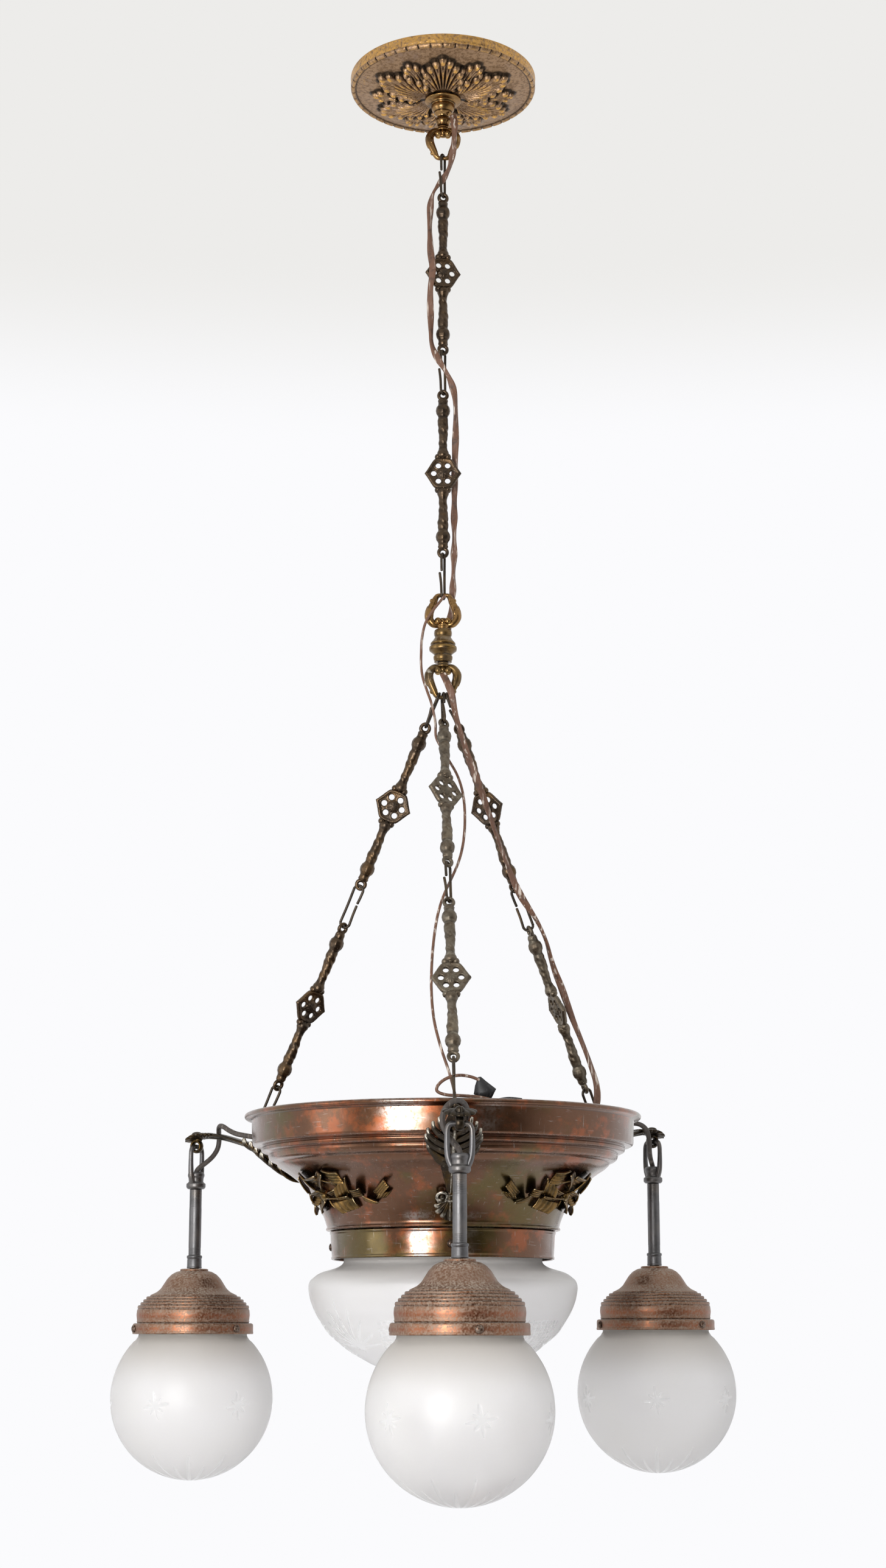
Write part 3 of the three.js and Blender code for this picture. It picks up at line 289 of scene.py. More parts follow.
class Form:
    """A mesh in millimetres, made of grids of points with a relief each, from 0, deep, to 1, proud. On some
    pieces a high relief marks a painted highlight instead.
    """

    def __init__(self) -> None:
        """Starts an empty form."""
        self.points: list[Array] = []
        self.reliefs: list[Array] = []
        self.faces: list[Array] = []
        self.count = 0

    def grid(
        self, points: Array, relief: Array | float = 0.5, rows: bool = False, columns: bool = False
    ) -> "Form":
        """Adds a grid of points.

        Args:
            points: Rows by columns by 3.
            relief: The relief at each point, or one for all.
            rows: Whether the last row joins the first.
            columns: Whether the last column joins the first.

        Returns:
            The form itself.
        """
        high, wide = points.shape[:2]
        index = np.arange(high * wide).reshape(high, wide) + self.count
        if rows:
            index = np.vstack([index, index[:1]])
        if columns:
            index = np.hstack([index, index[:, :1]])
        quads = np.stack([index[:-1, :-1], index[:-1, 1:], index[1:, 1:], index[1:, :-1]], -1)
        self.points.append(points.reshape(-1, 3))
        self.reliefs.append(np.broadcast_to(np.asarray(relief, float), (high, wide)).reshape(-1))
        self.faces.append(quads.reshape(-1, 4))
        self.count += high * wide
        return self

    def turned(
        self,
        profile: Array,
        segments: int = 96,
        swell: Callable[[Array, Array, Array], tuple[Array, Array | float]] | None = None,
        relief: Array | float = 0.5,
        closed: bool = False,
    ) -> "Form":
        """Adds a profile turned round the Z axis.

        Args:
            profile: Points of radius and height.
            segments: Points round a full turn.
            swell: Gives a change of radius and a relief from radius, height and azimuth in radians.
            relief: The relief along the profile, where swell gives none.
            closed: Whether the profile closes on itself.

        Returns:
            The form itself.
        """
        angle = round_turn(segments)[None, :]
        radius = np.repeat(profile[:, :1], segments, 1)
        height = np.repeat(profile[:, 1:2], segments, 1)
        if np.ndim(relief):
            relief = np.repeat(np.asarray(relief)[:, None], segments, 1)
        if swell:
            change, relief = swell(radius, height, np.broadcast_to(angle, radius.shape))
            radius = radius + change * (radius > 1e-6)
        points = np.stack([radius * np.sin(angle), -radius * np.cos(angle), height], -1)
        return self.grid(points, relief, rows=closed, columns=True)

    def tube(
        self,
        path: Array,
        radius: Array | float,
        sides: int = 12,
        closed: bool = False,
        flat: Array | float = 1.0,
        across: Sequence[float] | None = None,
        relief: Array | float = 0.5,
        groove: float = 0.0,
        twist: Array | float = 0.0,
    ) -> "Form":
        """Adds a tube along a line, with rounded ends.

        Args:
            path: The line.
            radius: The radius, or half the width, at each point.
            sides: Points round the tube.
            closed: Whether the line is closed.
            flat: Thickness as a share of the width.
            across: The direction that the width keeps close to.
            relief: The relief at each point.
            groove: How much thinner the middle of the width is, as a share.
            twist: A turn of the section in radians.

        Returns:
            The form itself.
        """
        count = len(path)
        width = np.broadcast_to(np.asarray(radius, float), (count,)).copy()
        thick = width * np.broadcast_to(np.asarray(flat, float), (count,))
        first, second = frames(path, closed, across)
        turn = np.broadcast_to(np.asarray(twist, float), (count,))[:, None]
        cos, sin = np.cos(turn), np.sin(turn)
        first, second = first * cos + second * sin, second * cos - first * sin
        values = np.broadcast_to(np.asarray(relief, float), (count,)).copy()
        if not closed:
            out = 0.6 * np.array([[1.0], [0.87], [0.5]])
            size = np.array([0.0, 0.5, 0.87])
            lead, tail = path[0] - path[1], path[-1] - path[-2]
            lead = path[0] + out * thick[0] * lead / max(np.linalg.norm(lead), 1e-9)
            tail = path[-1] + out[::-1] * thick[-1] * tail / max(np.linalg.norm(tail), 1e-9)
            path = np.vstack([lead, path, tail])
            width, thick = (np.concatenate([size * v[0], v, size[::-1] * v[-1]]) for v in (width, thick))
            first, second, values = (v[[0] * 3 + [*range(count)] + [-1] * 3] for v in (first, second, values))
        angle = round_turn(sides)
        high = np.sin(angle) * (1 - groove * np.exp(-((np.cos(angle) / 0.3) ** 2)))
        points = (
            path[:, None, :]
            + first[:, None, :] * (width[:, None] * np.cos(angle))[..., None]
            + second[:, None, :] * (thick[:, None] * high)[..., None]
        )
        return self.grid(points, np.repeat(values[:, None], sides, 1), rows=closed, columns=True)

    def ball(self, centre: Sequence[float], radii: Sequence[float] | float, relief: float) -> "Form":
        """Adds an ellipsoid.

        Args:
            centre: Its middle.
            radii: Its three half sizes, or one radius.
            relief: Its relief.

        Returns:
            The form itself.
        """
        rows = 10
        down = np.linspace(0, math.pi, rows)[:, None]
        angle = round_turn(rows + 4)[None, :]
        unit = [np.sin(down) * np.cos(angle), np.sin(down) * np.sin(angle), np.cos(down) + 0 * angle]
        points = np.stack(unit, -1) * radii + centre
        edge = relief * (0.55 + 0.45 * np.abs(unit[2]))
        return self.grid(points, np.clip(edge + 0.1, 0, 1), columns=True)

    def add(self, other: "Form", place: Matrix | None = None) -> "Form":
        """Adds another form, moved by a matrix whose shift is in metres.

        Args:
            other: The form to add.
            place: Where it goes.

        Returns:
            The form itself.
        """
        points = np.vstack(other.points)
        if place is not None:
            turn = np.array(place.to_3x3())
            points = points @ turn.T + np.array(place.translation) / MM
        for faces in other.faces:
            self.faces.append(faces + self.count)
        self.points.append(points)
        self.reliefs.append(np.concatenate(other.reliefs))
        self.count += len(points)
        return self

    def mesh(self, name: str) -> Mesh:
        """Makes the mesh, in metres, with its faces outwards and smooth.

        Args:
            name: The mesh's name.

        Returns:
            The mesh.
        """
        made = bpy.data.meshes.new(name)
        points = np.vstack(self.points) * MM
        faces = np.vstack(self.faces)
        made.vertices.add(len(points))
        made.vertices.foreach_set("co", points.astype(np.float32).ravel())
        made.loops.add(faces.size)
        made.loops.foreach_set("vertex_index", faces.astype(np.int32).ravel())
        made.polygons.add(len(faces))
        made.polygons.foreach_set("loop_start", np.arange(0, faces.size, 4, dtype=np.int32))
        values = made.attributes.new(RELIEF, "FLOAT", "POINT")
        values.data.foreach_set("value", np.concatenate(self.reliefs).astype(np.float32))
        made.update(calc_edges=True)
        work = bmesh.new()
        work.from_mesh(made)
        bmesh.ops.remove_doubles(work, verts=work.verts, dist=2e-6)
        bmesh.ops.recalc_face_normals(work, faces=work.faces)
        for face in work.faces:
            face.smooth = True
        work.to_mesh(made)
        work.free()
        made.validate()
        return made


# Node trees


class Sheet:
    """A node tree, with short calls that add and join its nodes."""

    def __init__(self, tree: Tree) -> None:
        """Keeps the tree that the nodes go in."""
        self.tree = tree

    def node(self, kind: str, values: dict[str, object] | None = None, **settings: object) -> bpy.types.Node:
        """Adds a node.

        Args:
            kind: The node's type name.
            values: Values or sockets for its inputs, by name.
            **settings: Settings of the node itself.

        Returns:
            The node.
        """
        made = self.tree.nodes.new(kind)
        for key, value in settings.items():
            setattr(made, key, value)
        for key, value in (values or {}).items():
            self.feed(made.inputs[key], value)
        return made

    def feed(self, socket: Socket, value: object) -> None:
        """Joins a socket to an input, or sets the input's value."""
        if isinstance(value, Socket):
            self.tree.links.new(value, socket)
        else:
            socket.default_value = value

    def noise(self, scale: float | Socket, detail: float, vector: Socket | None = None) -> Socket:
        """A noise value.

        Args:
            scale: How fine it is.
            detail: How many layers it has.
            vector: Where it is read, or the object's own place.

        Returns:
            The noise's value.
        """
        made = self.node("ShaderNodeTexNoise", {"Scale": scale, "Detail": detail, "Roughness": 0.6})
        self.feed(made.inputs["Vector"], vector or self.place())
        return made.outputs["Fac"]

    def place(self) -> Socket:
        """The point on the object, in its own frame."""
        return self.node("ShaderNodeTexCoord").outputs["Object"]

    def step(self, value: object, low: object, high: object, top: float = 1.0) -> Socket:
        """A smooth step of a value between two bounds, from 0 to top."""
        span = {"Value": value, "From Min": low, "From Max": high, "To Max": top}
        made = self.node("ShaderNodeMapRange", span, interpolation_type="SMOOTHSTEP")
        return made.outputs["Result"]

    def math(self, operation: str, first: object, second: object = 0.0) -> Socket:
        """A sum, product or other result of two values."""
        made = self.node("ShaderNodeMath", operation=operation)
        self.feed(made.inputs[0], first)
        self.feed(made.inputs[1], second)
        return made.outputs[0]

    def mix(self, share: object, first: object, second: object) -> Socket:
        """A colour between two, by a share."""
        made = self.node("ShaderNodeMix", data_type="RGBA")
        self.feed(made.inputs["Factor"], share)
        self.feed(made.inputs["A"], first)
        self.feed(made.inputs["B"], second)
        return made.outputs["Result"]

    def relief(self) -> Socket:
        """The mesh's relief."""
        return self.node("ShaderNodeAttribute", attribute_name=RELIEF).outputs["Fac"]


class Effect(Enum):
    """Surface effects that several materials share, each a node group."""

    MOTTLE = "mottled_patina"
    # Worn edges, and painted highlights where a mesh's relief is set high.
    WEAR = "worn_edges"
    DUST = "settled_dust"
    SCRATCH = "fine_scratches"


class Effects:
    """Builds each shared node group once and places it in materials."""

    def __init__(self) -> None:
        """Starts with no group built."""
        self.built: dict[Effect, Tree] = {}

    def place(self, sheet: Sheet, effect: Effect, **values: float) -> bpy.types.Node:
        """Places a group in a material.

        Args:
            sheet: The material's nodes.
            effect: Which group.
            **values: Values for its inputs, by name.

        Returns:
            The group's node.
        """
        if effect not in self.built:
            builders = {
                Effect.MOTTLE: self._mottle,
                Effect.WEAR: self._wear,
                Effect.DUST: self._dust,
                Effect.SCRATCH: self._scratch,
            }
            self.built[effect] = builders[effect]()
        made = sheet.node("ShaderNodeGroup", node_tree=self.built[effect])
        for name, value in values.items():
            made.inputs[name].default_value = value
        return made

    @staticmethod
    def _group(
        effect: Effect, inputs: dict[str, float], outputs: Sequence[str]
    ) -> tuple[Sheet, bpy.types.Node, bpy.types.Node]:
        """Starts a node group.

        Args:
            effect: Which group it is.
            inputs: Its inputs and their usual values.
            outputs: Its outputs.

        Returns:
            The group's sheet, its input node and its output node.
        """
        tree = bpy.data.node_groups.new(effect.value, "ShaderNodeTree")
        for name, value in inputs.items():
            socket = tree.interface.new_socket(name=name, in_out="INPUT", socket_type="NodeSocketFloat")
            socket.default_value = value
        for name in outputs:
            tree.interface.new_socket(name=name, in_out="OUTPUT", socket_type="NodeSocketFloat")
        sheet = Sheet(tree)
        return sheet, sheet.node("NodeGroupInput"), sheet.node("NodeGroupOutput")

    def _mottle(self) -> Tree:
        """Blotches at two sizes, with soft edges."""
        sheet, source, sink = self._group(
            Effect.MOTTLE, {"Scale": 30.0, "Low": 0.45, "High": 0.62, "Seed": 0.0}, ["Mask"]
        )
        shifted = sheet.node("ShaderNodeVectorMath", operation="ADD")
        sheet.feed(shifted.inputs[0], sheet.place())
        sheet.feed(shifted.inputs[1], source.outputs["Seed"])
        wide = sheet.noise(source.outputs["Scale"], 6.0, shifted.outputs[0])
        fine = sheet.noise(sheet.math("MULTIPLY", source.outputs["Scale"], 5.3), 4.0, shifted.outputs[0])
        both = sheet.math("ADD", sheet.math("MULTIPLY", wide, 0.78), sheet.math("MULTIPLY", fine, 0.22))
        sheet.feed(sink.inputs["Mask"], sheet.step(both, source.outputs["Low"], source.outputs["High"]))
        return sheet.tree

    def _wear(self) -> Tree:
        """Rubbed high places, which on some pieces are painted highlights that the relief marks, and dark low
        places, from the mesh's relief and its edges.
        """
        sheet, source, sink = self._group(Effect.WEAR, {"Edge": 0.515, "High": 0.62}, ["Worn", "Recess"])
        relief = sheet.relief()
        edge = sheet.node("ShaderNodeNewGeometry").outputs["Pointiness"]
        sharp = sheet.step(edge, source.outputs["Edge"], sheet.math("ADD", source.outputs["Edge"], 0.03))
        proud = sheet.step(relief, source.outputs["High"], sheet.math("ADD", source.outputs["High"], 0.3))
        breakup = sheet.step(sheet.noise(420.0, 4.0), 0.3, 0.6)
        wear_and_highlight = sheet.math("MULTIPLY", sheet.math("MAXIMUM", sharp, proud), breakup)
        sheet.feed(sink.inputs["Worn"], wear_and_highlight)
        deep = sheet.step(relief, 0.4, 0.06)
        hollow = sheet.step(edge, 0.478, 0.44)
        sheet.feed(sink.inputs["Recess"], sheet.math("MAXIMUM", deep, hollow))
        return sheet.tree

    def _dust(self) -> Tree:
        """Dust on faces that look up, broken by noise."""
        sheet, source, sink = self._group(Effect.DUST, {"Amount": 0.5, "Base": 0.1, "Fine": 160.0}, ["Dust"])
        normal = sheet.node("ShaderNodeNewGeometry").outputs["Normal"]
        upward = sheet.node("ShaderNodeSeparateXYZ", {"Vector": normal}).outputs["Z"]
        up = sheet.step(upward, 0.15, 0.95)
        lying = sheet.math("MAXIMUM", up, source.outputs["Base"])
        broken = sheet.step(sheet.noise(source.outputs["Fine"], 6.0), 0.36, 0.66)
        dust = sheet.math("MULTIPLY", sheet.math("MULTIPLY", lying, broken), source.outputs["Amount"])
        sheet.feed(sink.inputs["Dust"], dust)
        return sheet.tree

    def _scratch(self) -> Tree:
        """Fine scratches that run in two directions."""
        sheet, source, sink = self._group(Effect.SCRATCH, {"Scale": 60.0, "Low": 0.66}, ["Mask"])
        low = source.outputs["Low"]
        high = sheet.math("ADD", low, 0.06)
        masks = []
        for stretch in ((1.0, 1.0, 14.0), (9.0, 7.0, 0.8)):
            mapping = sheet.node("ShaderNodeMapping", {"Vector": sheet.place(), "Scale": stretch})
            grain = sheet.noise(source.outputs["Scale"], 2.0, mapping.outputs[0])
            masks.append(sheet.step(grain, low, high))
        sheet.feed(sink.inputs["Mask"], sheet.math("MAXIMUM", *masks))
        return sheet.tree


EFFECTS = Effects()


# Finishes


class Skin(Sheet):
    """A new material's nodes."""

    def __init__(self, name: str) -> None:
        """Makes the material."""
        self.made = bpy.data.materials.new(name)
        self.made.use_nodes = True
        super().__init__(self.made.node_tree)
        self.shader = self.made.node_tree.nodes["Principled BSDF"]

    def effect(self, effect: Effect, **values: float) -> Socket:
        """Places a shared group and gives its first output."""
        return EFFECTS.place(self, effect, **values).outputs[0]

    def finished(
        self, colour: Socket, roughness: Socket, height: Socket, bump: float, reach: float
    ) -> bpy.types.Material:
        """Joins the shader's inputs.

        Args:
            colour: The base colour.
            roughness: The roughness.
            height: The height that the bump follows.
            bump: The bump's strength.
            reach: The bump's depth in metres.

        Returns:
            The material.
        """
        raised = self.node("ShaderNodeBump", {"Height": height, "Strength": bump, "Distance": reach})
        for name, value in (("Base Color", colour), ("Roughness", roughness), ("Normal", raised.outputs[0])):
            self.feed(self.shader.inputs[name], value)
        return self.made


@dataclass(frozen=True)
class Metal:
    """A metal with blotches, stains, rubbed edges, dark recesses, dust and scratches. Where a mesh's relief
    is high, the worn colour also paints a highlight.
    """

    name: str
    base: Colour
    blotch: Colour
    stain: Colour
    wear_and_highlight: Colour
    recess: Colour
    dust: Colour
    roughness: tuple[float, float] = (0.28, 0.5)
    blotch_scale: float = 30.0
    blotch_range: tuple[float, float] = (0.46, 0.62)
    stain_scale: float = 12.0
    stain_range: tuple[float, float] = (0.5, 0.66)
    wear: float = 0.85
    edge: float = 0.515
    high: float = 0.62
    depth: float = 0.9
    dusty: float = 0.25
    dust_base: float = 0.12
    fineness: float = 160.0
    scratched: float = 0.15
    grain: float = 900.0
    bump: float = 0.1
    bump_reach: float = 0.0003
    coat: float = 0.0

    @cache
    def material(self) -> bpy.types.Material:
        """Builds the material, once for each finish."""
        sheet = Skin(self.name)
        low, high = self.blotch_range
        blotches = sheet.effect(Effect.MOTTLE, Scale=self.blotch_scale, Low=low, High=high)
        low, high = self.stain_range
        stains = sheet.effect(Effect.MOTTLE, Scale=self.stain_scale, Low=low, High=high, Seed=3.7)
        wear = EFFECTS.place(sheet, Effect.WEAR, Edge=self.edge, High=self.high)
        dust = sheet.effect(Effect.DUST, Amount=self.dusty, Base=self.dust_base, Fine=self.fineness)
        clean = sheet.math("SUBTRACT", 1.0, sheet.math("MULTIPLY", wear.outputs["Worn"], 0.85))
        dust = sheet.math("MULTIPLY", dust, clean)
        scratches = sheet.effect(Effect.SCRATCH)
        colour = sheet.mix(blotches, self.base, self.blotch)
        colour = sheet.mix(stains, colour, self.stain)
        colour = sheet.mix(sheet.math("MULTIPLY", scratches, self.scratched), colour, self.wear_and_highlight)
        colour = sheet.mix(sheet.math("MULTIPLY", wear.outputs["Recess"], self.depth), colour, self.recess)
        # The worn colour: rubbed edges, and on some pieces painted highlights that a high relief marks.
        colour = sheet.mix(sheet.math("MULTIPLY", wear.outputs["Worn"], self.wear), colour, self.wear_and_highlight)
        colour = sheet.mix(dust, colour, self.dust)
        low, high = self.roughness
        span = {"From Min": 0.3, "From Max": 0.7, "To Min": low, "To Max": high}
        rough = sheet.node("ShaderNodeMapRange", {"Value": sheet.noise(70.0, 6.0), **span})
        rough = sheet.math("ADD", rough.outputs[0], sheet.math("MULTIPLY", dust, 0.5))
        bare = sheet.math("SUBTRACT", 1.0, sheet.math("MULTIPLY", dust, 0.9))
        sheet.feed(sheet.shader.inputs["Metallic"], bare)
        sheet.feed(sheet.shader.inputs["Coat Weight"], self.coat)
        sheet.feed(sheet.shader.inputs["Coat Roughness"], 0.2)
        height = sheet.math("ADD", sheet.noise(self.grain, 3.0), sheet.math("MULTIPLY", scratches, -0.4))
        return sheet.finished(colour, rough, height, self.bump, self.bump_reach)


@dataclass(frozen=True)
class Glass:
    """Frosted glass with cuts that the relief marks, and a painted shade towards its top."""

    name: str
    frosted: Colour
    cloudy: Colour
    cut: Colour
    painted_shade: Colour
    transmission: float = 0.76
    roughness: tuple[float, float] = (0.4, 0.08)

    @cache
    def material(self) -> bpy.types.Material:
        """Builds the material, rough where it is frosted and smoother in the cuts, with painted shade near
        its rim at the top.
        """
        sheet = Skin(self.name)
        cuts = sheet.step(sheet.relief(), 0.4, 0.1)
        clouds = sheet.effect(Effect.MOTTLE, Scale=9.0, Low=0.35, High=0.75)
        colour = sheet.mix(clouds, self.frosted, self.cloudy)
        high = sheet.node("ShaderNodeSeparateXYZ", {"Vector": sheet.place()}).outputs["Z"]
        # Painted shade: the glass darkens towards its rim at the top, where the fitter above a globe, and the
        # gallery above the bowl, shade it.
        colour = sheet.mix(sheet.step(high, -0.045, 0.004), colour, self.painted_shade)
        colour = sheet.mix(cuts, colour, self.cut)
        frosted, smooth = self.roughness
        rough = sheet.node("ShaderNodeMapRange", {"Value": cuts, "To Min": frosted, "To Max": smooth})
        sheet.feed(sheet.shader.inputs["Transmission Weight"], self.transmission)
        sheet.feed(sheet.shader.inputs["IOR"], 1.4)
        return sheet.finished(colour, rough.outputs[0], sheet.noise(1500.0, 2.0), 0.12, 0.0002)


@dataclass(frozen=True)
class Covering:
    """A dull covering, such as rubbed flex, tape or moulded parts."""

    name: str
    base: Colour
    rubbed: Colour
    dirt: Colour
    roughness: float = 0.6
    rub_range: tuple[float, float] = (0.54, 0.66)
    stretch: tuple[float, float, float] = (90.0, 90.0, 7.0)

    @cache
    def material(self) -> bpy.types.Material:
        """Builds the material, once for each finish."""
        sheet = Skin(self.name)
        mapping = sheet.node("ShaderNodeMapping", {"Vector": sheet.place(), "Scale": self.stretch})
        streaks = sheet.step(sheet.noise(4.0, 5.0, mapping.outputs[0]), *self.rub_range)
        dirt = sheet.effect(Effect.MOTTLE, Scale=120.0, Low=0.5, High=0.7)
        colour = sheet.mix(dirt, self.base, self.dirt)
        colour = sheet.mix(streaks, colour, self.rubbed)
        colour = sheet.mix(sheet.step(sheet.relief(), 0.4, 0.1, 0.8), colour, self.dirt)
        span = {"To Min": self.roughness, "To Max": self.roughness + 0.15}
        rough = sheet.node("ShaderNodeMapRange", {"Value": streaks, **span})
        return sheet.finished(colour, rough.outputs[0], sheet.noise(1100.0, 3.0), 0.2, 0.0003)


class Finish(Enum):
    """The finishes of the lamp, each after the record's slot that it belongs to."""

    CANOPY = "canopy_brass", Metal(
        "antique_canopy_brass", base=srgb(158, 128, 98), blotch=srgb(140, 116, 98),
        stain=srgb(124, 97, 70), wear_and_highlight=srgb(216, 166, 88), recess=srgb(26, 20, 16),
        dust=srgb(170, 158, 140), roughness=(0.3, 0.46), blotch_scale=26.0, wear=1.0, edge=0.57, high=0.6,
        dusty=0.1, grain=430.0, bump=0.5, bump_reach=0.0012, depth=1.0, stain_scale=330.0,
        stain_range=(0.46, 0.58),
    )
    GOLD = "gold_brass", Metal(
        "aged_gold_brass", base=srgb(146, 113, 72), blotch=srgb(90, 66, 40), stain=srgb(126, 96, 56),
        wear_and_highlight=srgb(214, 176, 112), recess=srgb(34, 27, 21), dust=srgb(160, 148, 128),
        roughness=(0.16, 0.32), blotch_scale=70.0, high=0.74, dusty=0.12, bump=0.15, wear=0.7, edge=0.6,
    )
    PAINTED_GOLD = "gold_brass", Metal(
        "gold_brass_with_paint_marks", base=srgb(112, 88, 52), blotch=srgb(84, 66, 42),
        stain=srgb(178, 170, 156), wear_and_highlight=srgb(196, 160, 96), recess=srgb(46, 36, 28),
        dust=srgb(184, 178, 166), roughness=(0.24, 0.42), blotch_scale=70.0, stain_scale=60.0,
        stain_range=(0.6, 0.66), high=0.7, dusty=0.5, bump=0.15, wear=0.7, edge=0.6,
    )
    BRONZE = "bronze", Metal(
        "dark_cast_bronze", base=srgb(82, 68, 54), blotch=srgb(64, 55, 47), stain=srgb(98, 76, 52),
        wear_and_highlight=srgb(122, 98, 66), recess=srgb(32, 28, 25), dust=srgb(146, 138, 124), roughness=(0.26, 0.42),
        blotch_scale=90.0, stain_scale=36.0, high=0.7, dusty=0.3, bump=0.3, wear=0.55, depth=0.6,
        edge=0.58,
    )
    DUSTY_BRONZE = "bronze", Metal(
        "dusty_cast_bronze", base=srgb(98, 87, 74), blotch=srgb(76, 67, 57), stain=srgb(116, 104, 86),
        wear_and_highlight=srgb(132, 114, 86), recess=srgb(40, 35, 31), dust=srgb(176, 172, 156), roughness=(0.34, 0.5),
        blotch_scale=90.0, stain_scale=40.0, high=0.68, dusty=0.45, dust_base=0.3, bump=0.3, wear=0.5,
        depth=0.6, edge=0.58,
    )
    # The copper's worn colour is silvery. It paints rubbed edges and scratches, and also the painted
    # highlight near the front that the body's relief marks.
    COPPER = "copper", Metal(
        "aged_spun_copper", base=srgb(96, 62, 38), blotch=srgb(132, 72, 38), stain=srgb(86, 70, 28),
        wear_and_highlight=srgb(176, 168, 163), recess=srgb(50, 36, 28), dust=srgb(160, 154, 148), roughness=(0.2, 0.34),
        blotch_scale=36.0, blotch_range=(0.49, 0.6), stain_scale=10.0, stain_range=(0.48, 0.6), edge=0.56,
        high=0.62, dusty=0.36, dust_base=0.05, scratched=0.3, bump=0.06, wear=0.75, coat=0.6,
    )
    FITTER_COPPER = "copper", Metal(
        "dusty_spun_copper", base=srgb(124, 93, 74), blotch=srgb(132, 92, 68), stain=srgb(132, 104, 88),
        wear_and_highlight=srgb(140, 82, 56), recess=srgb(62, 44, 36), dust=srgb(152, 140, 126), roughness=(0.3, 0.44),
        blotch_scale=28.0, stain_scale=15.0, edge=0.56, high=0.7, dusty=1.0, dust_base=0.5, scratched=0.12,
        bump=0.1, fineness=620.0,
    )
    # The arm's worn colour is a near-white silver. Besides rubbed edges, it paints highlights where the
    # relief is high, most of all at the tips of the leaf's lobes.
    ARM = "dark_bronze", Metal(
        "dark_arm_bronze", base=srgb(58, 50, 40), blotch=srgb(50, 45, 40), stain=srgb(86, 66, 34),
        wear_and_highlight=srgb(206, 200, 186), recess=srgb(24, 22, 20), dust=srgb(120, 112, 100),
        roughness=(0.26, 0.42), blotch_scale=80.0, stain_scale=30.0, high=0.66, dusty=0.15, bump=0.2,
        wear=1.0, edge=0.6,
    )
    TUBE = "dark_bronze", Metal(
        "grey_pendant_tube", base=srgb(104, 103, 104), blotch=srgb(92, 91, 92), stain=srgb(116, 108, 100),
        wear_and_highlight=srgb(150, 148, 146), recess=srgb(50, 47, 45), dust=srgb(160, 158, 156), roughness=(0.36, 0.5),
        blotch_scale=60.0, dusty=0.25, bump=0.2, edge=0.6,
    )
    # The ribbon's pale worn colour paints highlights along the folds' edges, where the relief is high, as
    # well as rubbed places.
    RIBBON = "ribbon_bronze", Metal(
        "folded_ribbon_bronze", base=srgb(118, 92, 54), blotch=srgb(74, 60, 36), stain=srgb(122, 98, 54),
        wear_and_highlight=srgb(200, 186, 154), recess=srgb(28, 23, 17), dust=srgb(150, 140, 118), roughness=(0.22, 0.4),
        blotch_scale=80.0, high=0.68, dusty=0.1, bump=0.25, wear=0.95, edge=0.6,
    )
    STEEL = "steel", Metal(
        "plain_steel", base=srgb(136, 134, 130), blotch=srgb(112, 108, 104), stain=srgb(126, 112, 98),
        wear_and_highlight=srgb(186, 184, 180), recess=srgb(60, 56, 52), dust=srgb(168, 162, 152), roughness=(0.4, 0.56),
        blotch_scale=60.0, dusty=0.3,
    )
    WIRE = "bronze", Metal(
        "bent_hook_wire", base=srgb(72, 64, 56), blotch=srgb(58, 52, 47), stain=srgb(90, 74, 54),
        wear_and_highlight=srgb(120, 106, 88), recess=srgb(36, 32, 30), dust=srgb(168, 162, 150), roughness=(0.34, 0.5),
        blotch_scale=120.0, dusty=0.2, bump=0.3, edge=0.6,
    )
    # Painted shade: the glass's darker colour near its top.
    GLASS = "frosted_glass", Glass(
        "frosted_cut_glass", frosted=srgb(253, 252, 252), cloudy=srgb(249, 248, 246),
        cut=srgb(255, 255, 255), painted_shade=srgb(214, 208, 200),
    )
    FLEX = "brown_flex", Covering(
        "brown_twin_flex", base=srgb(98, 67, 49), rubbed=srgb(186, 174, 162), dirt=srgb(62, 44, 34)
    )
    DARK_FLEX = "dark_flex", Covering(
        "dark_wire", base=srgb(62, 55, 50), rubbed=srgb(104, 96, 88), dirt=srgb(40, 35, 32)
    )
    TAPE = "dark_flex", Covering(
        "insulating_tape", base=srgb(20, 20, 22), rubbed=srgb(54, 54, 56), dirt=srgb(12, 12, 13),
        roughness=0.5,
    )

    def dress(self, piece: bpy.types.Object) -> None:
        """Gives a piece this finish, on the object so that pieces may share a mesh."""
        slot, finish = self.value
        if not piece.data.materials:
            piece.data.materials.append(finish.material())
        piece.material_slots[0].link = "OBJECT"
        piece.material_slots[0].material = finish.material()


# Placing


def put(
    name: str,
    mesh: Mesh,
    finish: Finish,
    body: str,
    nodes: Sequence[str] = (),
    place: Matrix | None = None,
) -> bpy.types.Object:
    """Puts a piece in the scene, with its turn in the mesh, so that its box is true.

    Args:
        name: The piece's name.
        mesh: Its mesh.
        finish: Its finish.
        body: The body that it rides on.
        nodes: The CAD nodes that it stands for.
        place: Where its mesh goes.

    Returns:
        The piece.
    """
    place = place or Matrix.Identity(4)
    turn = place.to_3x3().to_4x4()
    mesh = mesh.copy()
    mesh.transform(turn)
    piece = bpy.data.objects.new(name, mesh)
    bpy.context.scene.collection.objects.link(piece)
    piece.matrix_world = Matrix.Translation(place.to_translation())
    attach(piece, body)
    if nodes:
        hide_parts(*nodes)
    finish.dress(piece)
    LOG.info("%s: %d faces on %s", name, len(mesh.polygons), body)
    return piece


# The lamp's main heights and lines, in millimetres

